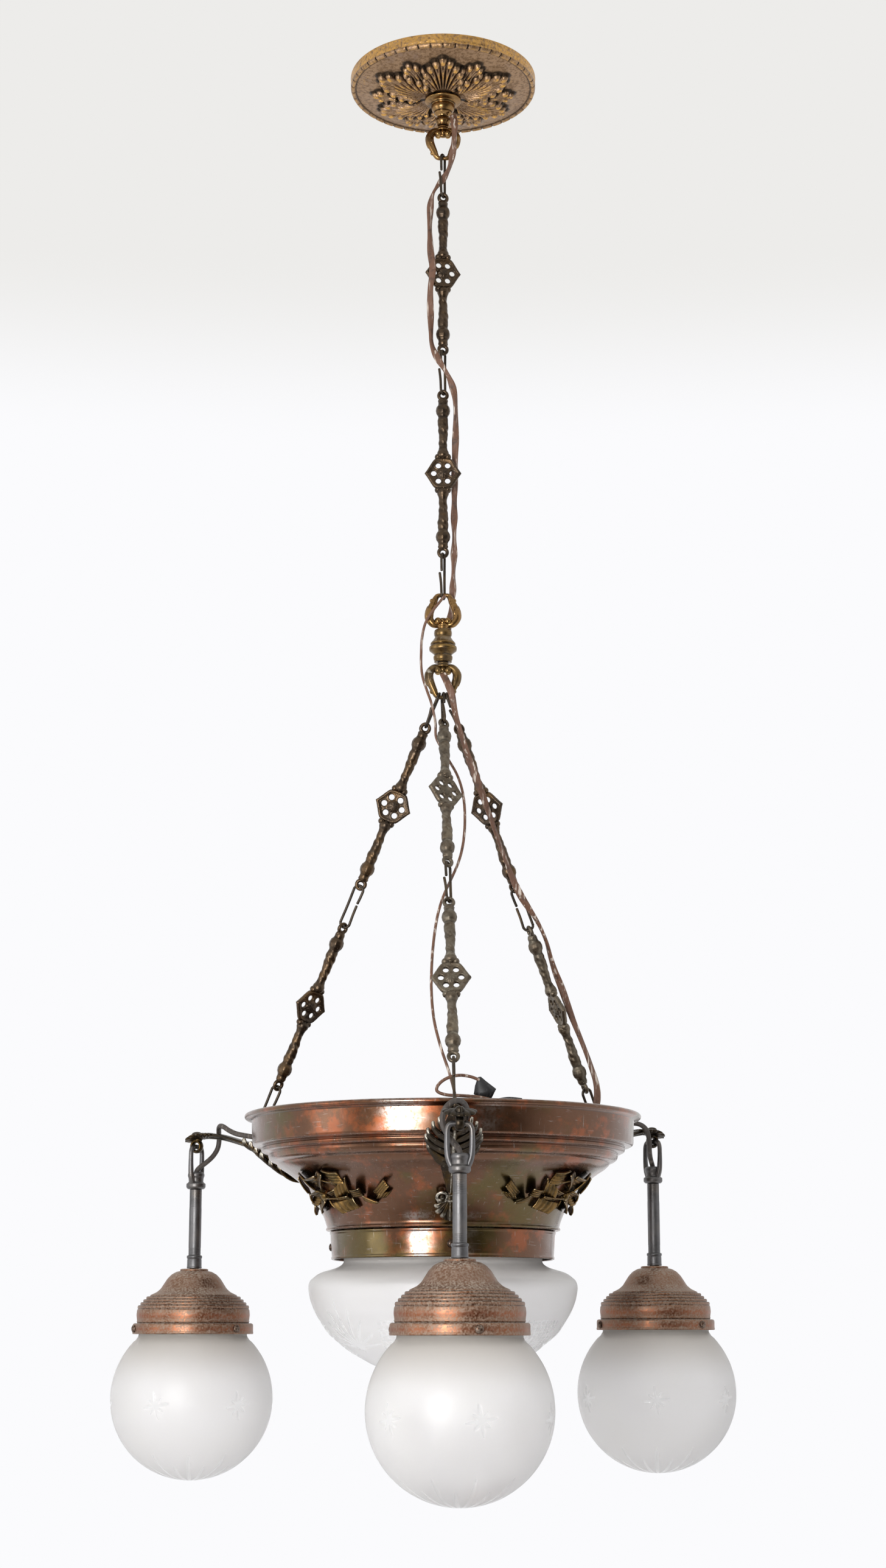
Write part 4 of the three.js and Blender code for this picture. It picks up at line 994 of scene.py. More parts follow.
CANOPY_BAR = -79.5
UPPER_REACH = 41.5
BAR_SEAT = 3.3
EYE_SEAT = 1.5
LEANING_SEAT = 3.7
LINK_LENGTH = 147.5
HUB_TOP_BAR = -498.4
HUB_COLUMN_FOOT = -560.0
HUB_BAR = -591.8
ARM_EYE = -968.25
RIM = -959.25
SHELL_FLOOR = -94.5
SEAM = 0.3
LOWER_CHAIN = 416.2
LOWER_REACH = (32.0, 39.2, 46.2)
ARM_EYE_RADIUS = 177.5
PENDANT_RADIUS = 239.3
TIP_RADIUS = 252.0
LIFT_FROM = 150.0


@dataclass(frozen=True)
class ArmPlace:
    """Where one arm stands and what differs between the arms.

    The lift is how far the arm has been bent up, tube is how much of the pendant's tube shows, screws
    and stars are the turns of its fitter and globe, seat is where its chain hangs along the hub's bar,
    and faces are the bearings that the five pieces of its chain face.
    """

    name: str
    azimuth: float
    lift: float
    tube: float
    screws: float
    stars: float
    seat: float
    faces: tuple[float, float, float, float, float]

    def lift_at(self, radius: Array | float) -> Array:
        """How far the bend has raised the arm at a radius."""
        reach = np.maximum(np.asarray(radius, float) - LIFT_FROM, 0)
        return self.lift * reach / (TIP_RADIUS - LIFT_FROM)

    def frame(self, radius: float = 0.0) -> Matrix:
        """The frame at a radius, with X outwards, Y sideways and the rim's edge, plus the lift, at z = 0."""
        out, side = bearings(self.azimuth)
        raised = float(self.lift_at(radius)) if radius else 0.0
        return basis(out, side, np.array([0, 0, 1.0]), out * radius + np.array([0, 0, RIM + raised]))


ARMS = (
    ArmPlace("front", 3, 0, 51.2, 12, 9.5, 0, (12, 28, 14, 0, 2)),
    ArmPlace("left", -114.5, 8, 57, 45, 154.5, -4.4, (0, 2, 22, 44, 62)),
    ArmPlace("right", 127.8, 17, 61.3, 39, -132.8, 4.4, (-14, -34, -52, -70, -58)),
)


def cone_point(t: Array | float) -> tuple[Array, Array, Array, Array]:
    """A point on the body's cone, from 0 at its foot to 1 at its top.

    Args:
        t: The share along the cone.

    Returns:
        Radius, height, and the outward direction's radial and upward parts.
    """
    t = np.asarray(t, float)
    radius = (1 - t) ** 2 * 97.3 + 2 * t * (1 - t) * 106 + t * t * 138.6
    height = (1 - t) ** 2 * -91.7 + 2 * t * (1 - t) * -59.9 + t * t * -42.1
    slope_r = (1 - t) * 8.7 + t * 32.6
    slope_h = (1 - t) * 31.8 + t * 17.8
    size = np.hypot(slope_r, slope_h)
    return radius, height, slope_h / size, -slope_r / size


# Cords


class Cords:
    """The twin flex, the single strand and the arms' wires, on the routes that their solids follow."""

    FLEX_WIDTH = 6.4
    FLEX_THICKNESS = 3.2
    STRAND = 1.2
    ARM_WIRE = 2.2
    UPPER = (
        (9.4, -5, -39), (10.4, -7.4, -47), (10.7, -8.6, -55), (10.2, -8, -64), (9.4, -6.8, -73),
        (8, -4.4, -81), (6.2, -1.6, -88), (3, 0, -95), (-1, 0, -101.5), (-5.4, -0.8, -108),
        (-9, -2.2, -115), (-11, -3.2, -123), (-11.8, -3.6, -134), (-12.2, -4, -147), (-11.8, -5, -161),
        (-11.2, -6, -175), (-9.8, -6.8, -186), (-9.4, -6.9, -192),
    )
    MIDDLE = (
        (-9.4, -6.9, -192.6), (-10, -6.7, -200), (-11.4, -6.2, -210), (-11.6, -5.2, -223),
        (-11.2, -4.2, -237), (-11, -3.8, -251), (-10.4, -4.6, -262), (-7.6, -6.8, -272), (-3.4, -8.4, -281),
        (1.2, -8.8, -289), (5.4, -8, -297), (8.6, -6.2, -305), (10.6, -4.2, -314), (11.4, -2, -326),
        (11.5, 0.6, -340), (11.2, 4, -354), (10.8, 7.2, -366), (10.5, 8.4, -377), (10.4, 8.6, -384),
    )
    LOWER = (
        (10.4, 8.6, -384.6), (10.3, 8.2, -394), (10.2, 7.4, -405), (10.1, 6.2, -417), (10, 5.2, -429),
        (10, 4.8, -441), (9.9, 4.8, -453), (9.7, 5.4, -464), (9.3, 6.4, -475), (8.9, 7.4, -486),
        (8.4, 8.2, -497), (7.6, 8.8, -507), (6.4, 9.2, -516), (5, 9, -523), (4.2, 8.6, -527.6),
    )
    CHAIN = (
        (-17, -3.4, 2.8), (-12, 0.8, 3.4), (-6, 5.8, 4), (1, 9.2, 4.2), (10, 9.6, 2.8), (21, 8.8, 1.2),
        (33, 8.2, 0.4), (46, 8.8, 0), (60, 8, -0.4), (75, 8.6, 0), (90, 9.6, 0.4), (107, 9.4, 0.4),
        (124, 9.6, 0.4), (139, 8.4, 0.4), (154, 8.2, 0.6), (168, 8.8, 0.8), (180, 8.8, 1.6),
        (192, 8.6, 3.4), (203, 7.4, 6), (214, 5.2, 8.6), (226, 2.6, 10.2), (238, -0.4, 10.6),
        (251, -3, 9.6), (265, -4.4, 9.2), (280, -5.2, 9.8), (296, -5.2, 9.8), (312, -5, 10),
        (328, -3.4, 10.8), (343, -2, 11.4), (357, -0.8, 11.4), (369, 1.8, 11), (379, 6.2, 8.6),
        (388, 10, 3.6), (395, 13, -6), (402, 14.6, -15), (411, 15.6, -24), (418, 16, -32),
    )
    SINGLE = (
        (1.5, -7.2, -501), (-4, -7, -508), (-10, -6.8, -516), (-15.6, -6, -526), (-18.4, -4, -538),
        (-19.2, -3, -551), (-19.2, -4, -564), (-17.6, -6.4, -576), (-14, -9.2, -588), (-10.4, -11.4, -599),
        (-8, -11.6, -609), (-6.5, -11.2, -619), (-6, -9.6, -630), (-0.5, -9.4, -641), (5.5, -12.4, -652),
        (11.5, -18.4, -664), (15.5, -27, -677), (17.8, -36.6, -691), (18.6, -45.4, -706),
        (18.2, -52.6, -722), (16.2, -58.4, -738), (12.4, -61.8, -752), (6.4, -63.4, -766),
        (0.4, -66.2, -780), (-4.2, -71.4, -796), (-7.4, -80.4, -817), (-9.2, -91.6, -841),
        (-9.4, -103, -866), (-7.2, -113.4, -890), (-2, -121.8, -912), (3.8, -127.6, -930),
        (7.8, -131.4, -944), (9.8, -133.8, -954), (10.6, -135.2, -963),
    )
    ARM = (
        (161.9, 9.5, -14), (169, 9.6, -13.6), (177, 9.5, -13), (186, 9.2, -12.2), (195, 8.6, -11),
        (203, 7.2, -8.4), (209.5, 4.4, -5.6), (215.5, 0.2, -4.6), (220, -5, -6.4), (222.6, -9.6, -10.8),
        (223.6, -12, -17), (224.8, -11.8, -24), (227.6, -8.8, -31), (232, -4.8, -37), (236.4, -1.4, -41.6),
        (239, 0, -45.6), (239.3, 0, -50.4),
    )

    def build(self) -> None:
        """Makes every cord, and takes those that cross a hinge off their bodies."""
        self._flex("flex_upper", self.UPPER, ("canopy", "chain_upper"), (-58.0, -101.0))
        self._flex("flex_middle", self.MIDDLE, ("chain_upper", "chain_middle"), (-240.0, -296.0))
        self._flex("flex_lower", self.LOWER, ("chain_middle", "suspended"), (-441.0, -486.0))
        chain = ChainLine(ARMS[2])
        beside = np.array([1.0, 0, 0]) - chain.up[0] * chain.up
        beside /= np.linalg.norm(beside)
        before = np.cross(beside, chain.up)
        route = [chain.at(along) + front * before + side * beside for along, front, side in self.CHAIN]
        self._flex("flex_chain", route, ("suspended",), None)
        path = through(self.SINGLE, 5)
        strand = Form().tube(path, self.STRAND, 10)
        self._declare("strand", strand, path, 2 * self.STRAND, Finish.FLEX, ("suspended",), None)
        for arm in ARMS:
            self._arm_wire(arm)

    def _flex(self, name: str, route: Line, bodies: Sequence[str], span: tuple[float, float] | None) -> None:
        """Makes a length of twin flex, with a few slow twists."""
        path = through(route, 6)
        run = np.linspace(0, 1, len(path))
        twist = 1.3 * np.sin(run * 15.0 + len(route)) * np.sin(math.pi * run) ** 0.5
        form = Form().tube(
            path, self.FLEX_WIDTH / 2, 20, flat=self.FLEX_THICKNESS / self.FLEX_WIDTH, across=(1, 0, 0),
            groove=0.3, twist=twist,
        )
        ends = None if span is None else ((0, 0, span[0]), (0, 0, span[1]))
        self._declare(name, form, path, self.FLEX_WIDTH, Finish.FLEX, bodies, ends)

    def _arm_wire(self, arm: ArmPlace) -> None:
        """Makes the wire from the rim to an arm's yoke."""
        place = arm.frame()
        local = through([(r, s, h + float(arm.lift_at(r))) for r, s, h in self.ARM], 5)
        path = local @ np.array(place.to_3x3()).T + np.array(place.translation) / MM
        form = Form().tube(path, self.ARM_WIRE, 12)
        ends = [path[len(path) * 9 // 17], path[len(path) * 15 // 17]]
        bodies = ("suspended", f"pendant_{arm.name}")
        name = f"arm_flex_{arm.name}"
        self._declare(name, form, path, 2 * self.ARM_WIRE, Finish.DARK_FLEX, bodies, ends)

    @staticmethod
    def _declare(
        name: str,
        form: Form,
        path: Array,
        width: float,
        finish: Finish,
        bodies: Sequence[str],
        ends: Sequence[Sequence[float]] | None,
    ) -> None:
        """Puts a cord in the scene, and takes a cord that crosses a hinge off its body.

        Args:
            name: The CAD node that it stands for. The piece is named after it.
            form: Its mesh.
            path: Its centreline. Not used.
            width: Its diameter or width. Not used.
            finish: Its finish.
            bodies: The body that it rides on, or the two that it runs between. The piece is put on the last.
            ends: Where the bend between two bodies starts and ends. Only whether it is given is read: if it
                is, the piece is taken off its body.
        """
        piece = put(f"{name}_cord", form.mesh(name), finish, bodies[-1], [name])
        if ends is not None:
            piece.parent = None
            piece.matrix_world = Matrix.Identity(4)
            del piece["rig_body"]
            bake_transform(piece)


class ChainLine:
    """The line of an arm's chain, from the hub's bar down to the arm's eye."""

    def __init__(self, arm: ArmPlace) -> None:
        """Works out the line from the arm's place."""
        bar = np.array([arm.seat, 0, HUB_BAR])
        raised = float(arm.lift_at(ARM_EYE_RADIUS))
        self.end = bearings(arm.azimuth)[0] * ARM_EYE_RADIUS + np.array([0, 0, ARM_EYE + raised])
        self.up = (bar - self.end) / np.linalg.norm(bar - self.end)
        self.start = bar + self.up * LEANING_SEAT
        self.length = float(np.linalg.norm(self.start - self.end))

    def at(self, distance: float) -> Array:
        """The point at a distance down from the first hook's wire."""
        return self.start - self.up * distance

    def frame(self, distance: float, face: float) -> Matrix:
        """A frame on the line whose Z axis runs up it and whose Y axis turns away from a bearing."""
        toward = -bearings(face)[0]
        y = toward - self.up * (toward @ self.up)
        y /= np.linalg.norm(y)
        return basis(np.cross(y, self.up), y, self.up, self.at(distance))


# Ceiling plate group


@dataclass
class CeilingGroup:
    """The fixing bar, the embossed plate, and the cup and ball under it."""

    ring: float = 83.0
    notches: int = 47
    leaf_base: float = 14.0
    columns: int = 600
    large: tuple[tuple[float, float], ...] = (
        (0, 51), (6.4, 46.5), (11.8, 39.5), (15.6, 30.5), (16.6, 21), (14, 12.5),
    )
    small: tuple[tuple[float, float], ...] = ((0, 49), (5.2, 44.5), (9.4, 38), (12, 30), (12.4, 21.5))

    def build(self) -> None:
        """Makes the group's pieces."""
        put("ceiling_plate", self._plate(), Finish.CANOPY, "canopy", ["canopy_plate"])
        put("ceiling_cup", self._cup(), Finish.GOLD, "canopy", ["canopy_spindle"])
        put("fixing_bar", self._bar(), Finish.STEEL, "canopy", ["ceiling_bar"])

    def _leaf(
        self, radius: Array, azimuth: Array, axis: float, ends: Line, width: float
    ) -> tuple[Array, Array, Array]:
        """One palmette leaf: ribs that rise together from its base and curl over at their ends.

        Args:
            radius: Radii of the plate's points.
            azimuth: Their azimuths in radians.
            axis: The leaf's azimuth in degrees.
            ends: Where each rib ends, sideways and outwards from the leaf's base.
            width: Half the width of a rib near its end.

        Returns:
            Height, relief, and how far inside the leaf's outline each point is.
        """
        turn = astray(azimuth - math.radians(axis), 2 * math.pi)
        height = np.zeros_like(radius)
        relief = np.full_like(radius, 0.12)
        room = np.full_like(radius, -9.0)
        near = np.abs(turn) < 1.0
        along = (radius * np.cos(turn) - self.leaf_base)[near]
        side = (radius * np.sin(turn))[near]
        tall, crest, inside = height[near], relief[near], room[near]
        for k, (across, far) in enumerate(ends):
            for way in (1,) if k == 0 else (-1, 1):
                t = np.linspace(0, 1, 12)[:, None]
                start, bend = np.array([1.3 * k * way, 1.5]), np.array([0.46 * across * way, 0.64 * far])
                end = np.array([across * way, far])
                curve = (1 - t) ** 2 * start + 2 * t * (1 - t) * bend + t * t * end
                distance, share = nearest(side, along, curve)
                wide = 0.7 + (width - 0.7) * share**1.9
                q = distance / wide
                rib = np.clip(1 - q * q, 0, 1)
                valley = 0.75 * bell(q, 0, 0.3) * ease(0.62, 0.76, share) * (1 - ease(0.86, 0.94, share))
                rise = 1.0 + 2.4 * ease(0.0, 0.6, share) + 0.8 * ease(0.8, 1.0, share)
                lift = rib * (1 - valley) * rise
                shine = 0.66 + 0.22 * ease(0.15, 0.6, share) + 0.12 * ease(0.75, 1.0, share)
                value = rib * (1 - valley) * shine
                taller = lift > tall
                tall = np.where(taller, lift, tall)
                crest = np.where(taller, np.maximum(value, 0.08), crest)
                inside = np.maximum(inside, wide + 0.9 - distance)
        height[near], relief[near], room[near] = tall, crest, inside
        return height + 0.9 * ease(-0.4, 0.8, room), relief, room

    def _under(self, radius: Array, azimuth: Array) -> Pair:
        """The underside's height and relief at points of the plate."""
        base = np.interp(
            radius,
            [4.6, 20, 30, 40, 60, 74, 79.6, 80.8, 81.5, 83, 84.3, 85, 85.4],
            [-20.8, -20.6, -19.4, -18.0, -15.0, -12.6, -11.5, -10.9, -12.1, -12.9, -12.3, -11.2, -10.0],
        )
        height = np.zeros_like(radius)
        relief = np.full_like(radius, 0.5)
        for ends, width, start, raised in ((self.small, 3.2, 30, 0.0), (self.large, 3.9, 0, 0.9)):
            for axis in range(start, 360 + start, 60):
                lift, value, room = self._leaf(radius, azimuth, axis, ends, width)
                body = ease(-0.4, 0.4, room)
                height = height * (1 - body) + (lift + raised) * body
                relief = np.where(room > 0, value, relief * (1 - 0.75 * ease(-3.4, -0.2, room)))
        notch = np.abs((azimuth * self.notches / (2 * math.pi) + 0.5) % 1 - 0.5)
        on_ring = bell(radius, self.ring, 1.9)
        cut = (1 - ease(0.035, 0.11, notch)) * ease(81.2, 81.8, radius)
        height = height - 1.7 * cut * on_ring
        relief = np.where(radius > 81.4, 0.6 + 0.15 * on_ring, relief)
        relief = relief * (1 - 0.95 * cut) * (1 - 0.75 * bell(radius, 80.7, 0.8))
        return base - height * ease(17.5, 26.0, radius), relief

    def _plate(self) -> Mesh:
        """The embossed plate, with its wall and its plain back."""
        spans = ((4.6, 14, 8), (14.6, 67, 88), (68, 85.4, 40))
        radii = np.concatenate([np.linspace(*span) for span in spans])
        radius, turn = np.meshgrid(radii, round_turn(self.columns), indexing="ij")
        height, relief = self._under(radius, turn)
        wall = rounded(
            [
                (85.4, -10), (85.1, -8.6), (85.5, -6.8), (85.3, -4), (85.6, -1.4), (85.4, -0.3),
                (83.4, -0.3), (83.4, -9), (74.6, -9.6), (40, -16.8), (20, -19.2), (4.6, -19.4),
            ],
            0.7, 4.0,
        )[1:]
        radius = np.vstack([radius, np.repeat(wall[:, :1], self.columns, 1)])
        height = np.vstack([height, np.repeat(wall[:, 1:], self.columns, 1)])
        relief = np.vstack([relief, np.full((len(wall), self.columns), 0.8)])
        turn = np.vstack([turn, np.repeat(turn[:1], len(wall), 0)])
        points = np.stack([radius * np.sin(turn), -radius * np.cos(turn), height], -1)
        return Form().grid(points, relief, rows=True, columns=True).mesh("ceiling_plate")

    @staticmethod
    def _cup() -> Mesh:
        """The cup, ball and neck under the plate, with the rod that goes through it."""
        seat, rod_top = -21.1, 17.8
        corners = [
            (0, rod_top), (4, rod_top), (4, 0), (15.2, 0), (16.9, -0.7), (17, -1.9), (15.2, -3),
            (11.6, -3.6), (11.2, -5.2), (10.6, -5.8), (10.9, -7), (10.4, -10), (8.8, -12.4), (8.3, -13),
            (8.5, -14), (7, -15.4), (5.9, -16.4), (5.3, -18), (6.6, -19.6), (7.2, -21.6), (6.4, -24),
            (5.4, -25.4), (6.4, -26.4), (0, -26.6),
        ]
        profile = rounded(corners, 0.9, 1.4)
        marks = ((0.45, -1.4, 1.2), (-0.4, -5, 0.7), (-0.4, -12.9, 0.7), (-0.4, -18.2, 1.2))
        relief = banded(profile[:, 1], 0.5, *marks)
        return Form().turned(profile + (0, seat), 72, relief=relief).mesh("ceiling_cup")

    @staticmethod
    def _bar() -> Mesh:
        """The steel strip that carries the plate, with a screw hole near each end."""
        form = Form()
        half, side, low = 65.0, 10.0, -3.0
        hole, hole_at = 2.6, 50.0
        outline = rounded([(-half, -side), (half, -side), (half, side), (-half, side)], 4, 4, closed=True)
        for sign in (-1, 1):
            edge = outline[outline[:, 0] * sign >= -1e-6]
            turn = np.arctan2(edge[:, 1], edge[:, 0] * sign - hole_at)
            order = np.argsort(turn)
            edge, turn = edge[order], turn[order]
            ring = np.stack([sign * (hole_at + hole * np.cos(turn)), hole * np.sin(turn)], -1)
            rows = [np.c_[ring, np.full(len(ring), z)] for z in (low, 0.0)]
            rows += [np.c_[edge, np.full(len(edge), z)] for z in (0.0, low)]
            form.grid(np.array(rows), rows=True, columns=True)
        return form.mesh("fixing_bar")


# Loops, hub and chains


class Castings:
    """Meshes that the ceiling, the hub and the chains share."""

    def __init__(self) -> None:
        """Makes the shared meshes."""
        self.loop = self._loop()
        self.links = [self._link(seed) for seed in range(3)]

    @staticmethod
    def _loop() -> Mesh:
        """A cast loop of two scrolled legs, with its thin bar along X through the origin."""
        form = Form()
        for turn in (-1, 1):
            leg = through(
                [
                    (3.2, 0, 27.5), (8.2, 0, 26.6), (11.8, 0, 22.4), (12, 0, 17.2), (10.2, 0, 11.6),
                    (8, 0, 6.6), (6.4, 0, 2.8), (4.6, 0, 0.6), (1, 0, 0), (0, 0, 0),
                ],
                6,
            )
            run = np.linspace(0, 1, len(leg))
            stations = [0, 0.12, 0.3, 0.45, 0.62, 0.78, 0.9, 1]
            radius = np.interp(run, stations, [2.6, 3.6, 4.1, 3.7, 2.9, 2.2, 1.8, 1.8])
            relief = 0.5 + 0.25 * np.sin(run * 9.0) * (1 - run)
            leg[:, 0] *= turn
            form.tube(leg, radius, 16, flat=0.94, across=(0, 1, 0), relief=relief)
            curl = through([(6.6, 0, 7.4), (7.8, 0, 5.6), (9, 0, 5), (9.8, 0, 5.6)], 4)
            curl[:, 0] *= turn
            form.tube(curl, np.linspace(2.0, 1.6, len(curl)), 10, relief=0.6)
            form.ball((turn * 9.6, 0, 5.3), 2.2, 0.8)
            bump = through([(12, 0, 24.6), (14, 0, 20.4), (13.4, 0, 14.8), (11.4, 0, 10.4)], 4)
            bump[:, 0] *= turn
            thin = [0.8] + [1.5] * (len(bump) - 2) + [0.7]
            form.tube(bump, thin, 10, across=(0, 1, 0), flat=1.6, relief=0.55)
            for face in (-1, 1):
                form.ball((turn * 4.4, face * 2.2, 24.2), (3.2, 2.8, 3.2), relief=0.95)
                form.ball((turn * 10.6, face * 3.2, 16.6), (1.3, 1.3, 3.4), relief=0.75)
        form.ball((0, 0, 25.4), (3.4, 3.6, 3.4), relief=0.6)
        form.ball((0, 0, 22.6), (4.0, 2.6, 1.8), relief=0.25)
        cap = rounded([(0, 27), (5.4, 27.2), (5.8, 28.6), (4.8, 29.6), (5, 31.5), (0, 31.5)], 0.6, 1.5)
        form.turned(cap, 32, relief=0.55)
        return form.mesh("cast_loop")

    @staticmethod
    def _link(seed: int) -> Mesh:
        """A cast link, with its pierced medallion at the origin and an eye at each end along Z."""
        form = Form()
        Castings._medallion(form)
        reach = LINK_LENGTH / 2
        for end in (-1, 1):
            half = Form()
            turn = round_turn(40)
            wide = 3.7 - 0.35 * np.cos(turn)
            ring = np.stack([wide * np.sin(turn), 0 * turn, reach + 0.5 + 3.9 * np.cos(turn)], -1)
            half.tube(ring, 1.6 - 0.1 * np.cos(turn), 12, closed=True, relief=0.5 + 0.1 * np.cos(turn))
            heights, widths = zip(
                (15, 4.6), (17, 5.4), (19.5, 5.2), (22, 4.1), (24.5, 3.6), (31, 3.7), (39, 4.2), (46, 4.7),
                (50.5, 4.7), (53, 4.2), (54.4, 4.6), (56.4, 5.8), (59.4, 6.3), (62.4, 5.8), (64.2, 4.6),
                (65.6, 4.2), (68, 4.3), (70.4, 3.4),
            )
            fine = np.linspace(heights[0], heights[-1], 84)
            profile = np.stack([np.interp(fine, heights, widths), fine], -1)
            profile = np.vstack([[0, heights[0]], profile, [0, heights[-1]]])
            phase = 0.9 * seed + (1.3 if end < 0 else 0)

            def flutes(radius: Array, height: Array, angle: Array) -> Pair:
                """Lobes of the bead and a twisted leaf cast on the stem."""
                bead = bell(height, 59.4, 4.2)
                lobes = np.abs(np.cos(4 * angle))
                change = bead * (0.5 * lobes - 0.3)
                value = 0.42 + bead * (0.4 * lobes - 0.1)
                stem = ease(23, 27, height) * (1 - ease(48, 52, height))
                scroll = np.sin(2 * angle + 0.21 * height + phase) * np.sin(0.42 * height + angle + phase)
                change = change + stem * (0.42 * scroll + 0.15 * np.sin(1.1 * height + 3 * angle))
                value = value + 0.16 * stem * scroll
                value = banded(height, value, (-0.3, 53, 1.2), (-0.3, 65, 1.2), (-0.25, 23.5, 1.5))
                return change, np.clip(value, 0, 1)

            half.turned(profile, 40, flutes)
            half.ball((0, 0, 68.6), (4.6, 2.9, 3.0), 0.45)
            for side, size in ((-4.4, 3.1), (4.4, 2.9), (0, 3.4)):
                half.ball((side, 0, 16.6 - abs(side) * 0.25), (size, 3.6, 3.0), 0.62)
            half.ball((0, 0, 20.2), (4.2, 3.7, 2.0), 0.55)
            form.add(half, Matrix.Rotation(math.pi, 4, "X") if end < 0 else None)
        return form.mesh(f"cast_link_{seed}")

    @staticmethod
    def _outline(angle: Array | float) -> Array:
        """The medallion's radius, six-sided and pointed at the left and the right."""
        folded = np.degrees(np.abs(astray(np.asarray(angle, float), math.pi)))
        radii = [16.4, 15, 14.1, 13.7, 14.1, 15.2, 14.8, 14.6]
        return np.interp(folded, [0, 8, 18, 30, 44, 60, 75, 90], radii)

    @staticmethod
    def _medallion(form: Form) -> None:
        """Adds the medallion in the XZ plane: six round holes, a raised frame and a ribbed boss."""
        centre_at, hole = 8.3, 2.5
        for k in range(6):
            lean = math.radians(60 * k)
            centre = centre_at * np.array([math.cos(lean), math.sin(lean)])
            corner_turns = []
            for side in (lean - math.pi / 6, lean + math.pi / 6):
                spot = Castings._outline(side) * np.array([math.cos(side), math.sin(side)]) - centre
                corner_turns.append((math.atan2(spot[1], spot[0]) - lean) % (2 * math.pi))
            turns = np.unique(np.concatenate([round_turn(40), corner_turns]).round(6))
            inner, outer = [], []
            for turn in turns:
                way = np.array([math.cos(turn + lean), math.sin(turn + lean)])
                low, high = hole, 20.0
                for _ in range(26):
                    middle = (low + high) / 2
                    spot = centre + way * middle
                    bearing = math.atan2(spot[1], spot[0])
                    swing = abs(astray(bearing - lean, 2 * math.pi))
                    out = np.hypot(*spot) > Castings._outline(bearing) or swing > math.pi / 6 + 1e-9
                    low, high = (low, middle) if out else (middle, high)
                inner.append(centre + way * hole)
                outer.append(centre + way * low)
            inner, outer = np.array(inner), np.array(outer)
            shares = np.array([0.0, 0.12, 0.3, 0.5, 0.7, 0.86, 0.95, 1.0])[:, None, None]
            flat = inner + (outer - inner) * shares
            away = np.hypot(flat[..., 0], flat[..., 1])
            bearing = np.arctan2(flat[..., 1], flat[..., 0])
            rim = Castings._outline(bearing) - away
            lip = np.hypot(flat[..., 0] - centre[0], flat[..., 1] - centre[1]) - hole
            ribs = np.cos(12 * bearing)
            high = banded(rim, 1.35, (0.95, 1.5, 1.1), (-0.5, 0, 0.5))
            high = banded(lip, high, (0.3, 0.6, 0.5), (-0.35, 0, 0.3))
            high = high + (1.5 + 0.25 * ribs) * ease(5.6, 3.4, away)
            value = banded(lip, banded(rim, 0.34, (0.3, 1.3, 0.9)), (0.12, 0.6, 0.5))
            value = value + 0.2 * ease(5.2, 2.0, away) * (1 + 0.3 * ribs)
            value = np.clip(value, 0, 1)
            for face in (-1, 1):
                form.grid(np.stack([flat[..., 0], face * high, flat[..., 1]], -1), value, columns=True)
            for edge, thick in ((inner, high[0]), (outer, high[-1])):
                wall = np.array([np.stack([edge[:, 0], side * thick, edge[:, 1]], -1) for side in (-1, 1)])
                if edge is inner:
                    form.grid(wall, 0.3, columns=True)
                    continue
                keep = np.abs(rim[-1]) < 0.02
                order = np.roll(np.arange(len(edge)), -int(np.argmin(keep)))
                form.grid(wall[:, order[keep[order]]], 0.55)

    @staticmethod
    def hook(reach: float) -> Form:
        """A bent wire hook in the YZ plane, from z = 0 down to -reach, open in its front leg."""
        bend, gap = 4.4, 2.4
        cut = -reach * 0.42
        top = np.linspace(math.pi, 0, 13)
        bottom = np.linspace(0, -math.pi, 13)
        points = [(0, -bend + 0.5, cut + gap / 2), (0, -bend + 0.1, (cut + gap / 2 - bend) / 2)]
        points += [(0, bend * math.cos(a), -bend + bend * math.sin(a)) for a in top]
        points += [(0, bend - 0.25, -reach / 2)]
        points += [(0, bend * math.cos(a), bend - reach + bend * math.sin(a)) for a in bottom]
        points += [(-0.5, -bend + 0.2, (cut - gap / 2 - reach + bend) / 2)]
        points += [(-1.5, -bend - 0.2, cut - gap / 2)]
        return Form().tube(through(points, 3), 1.2, 12, relief=0.5)


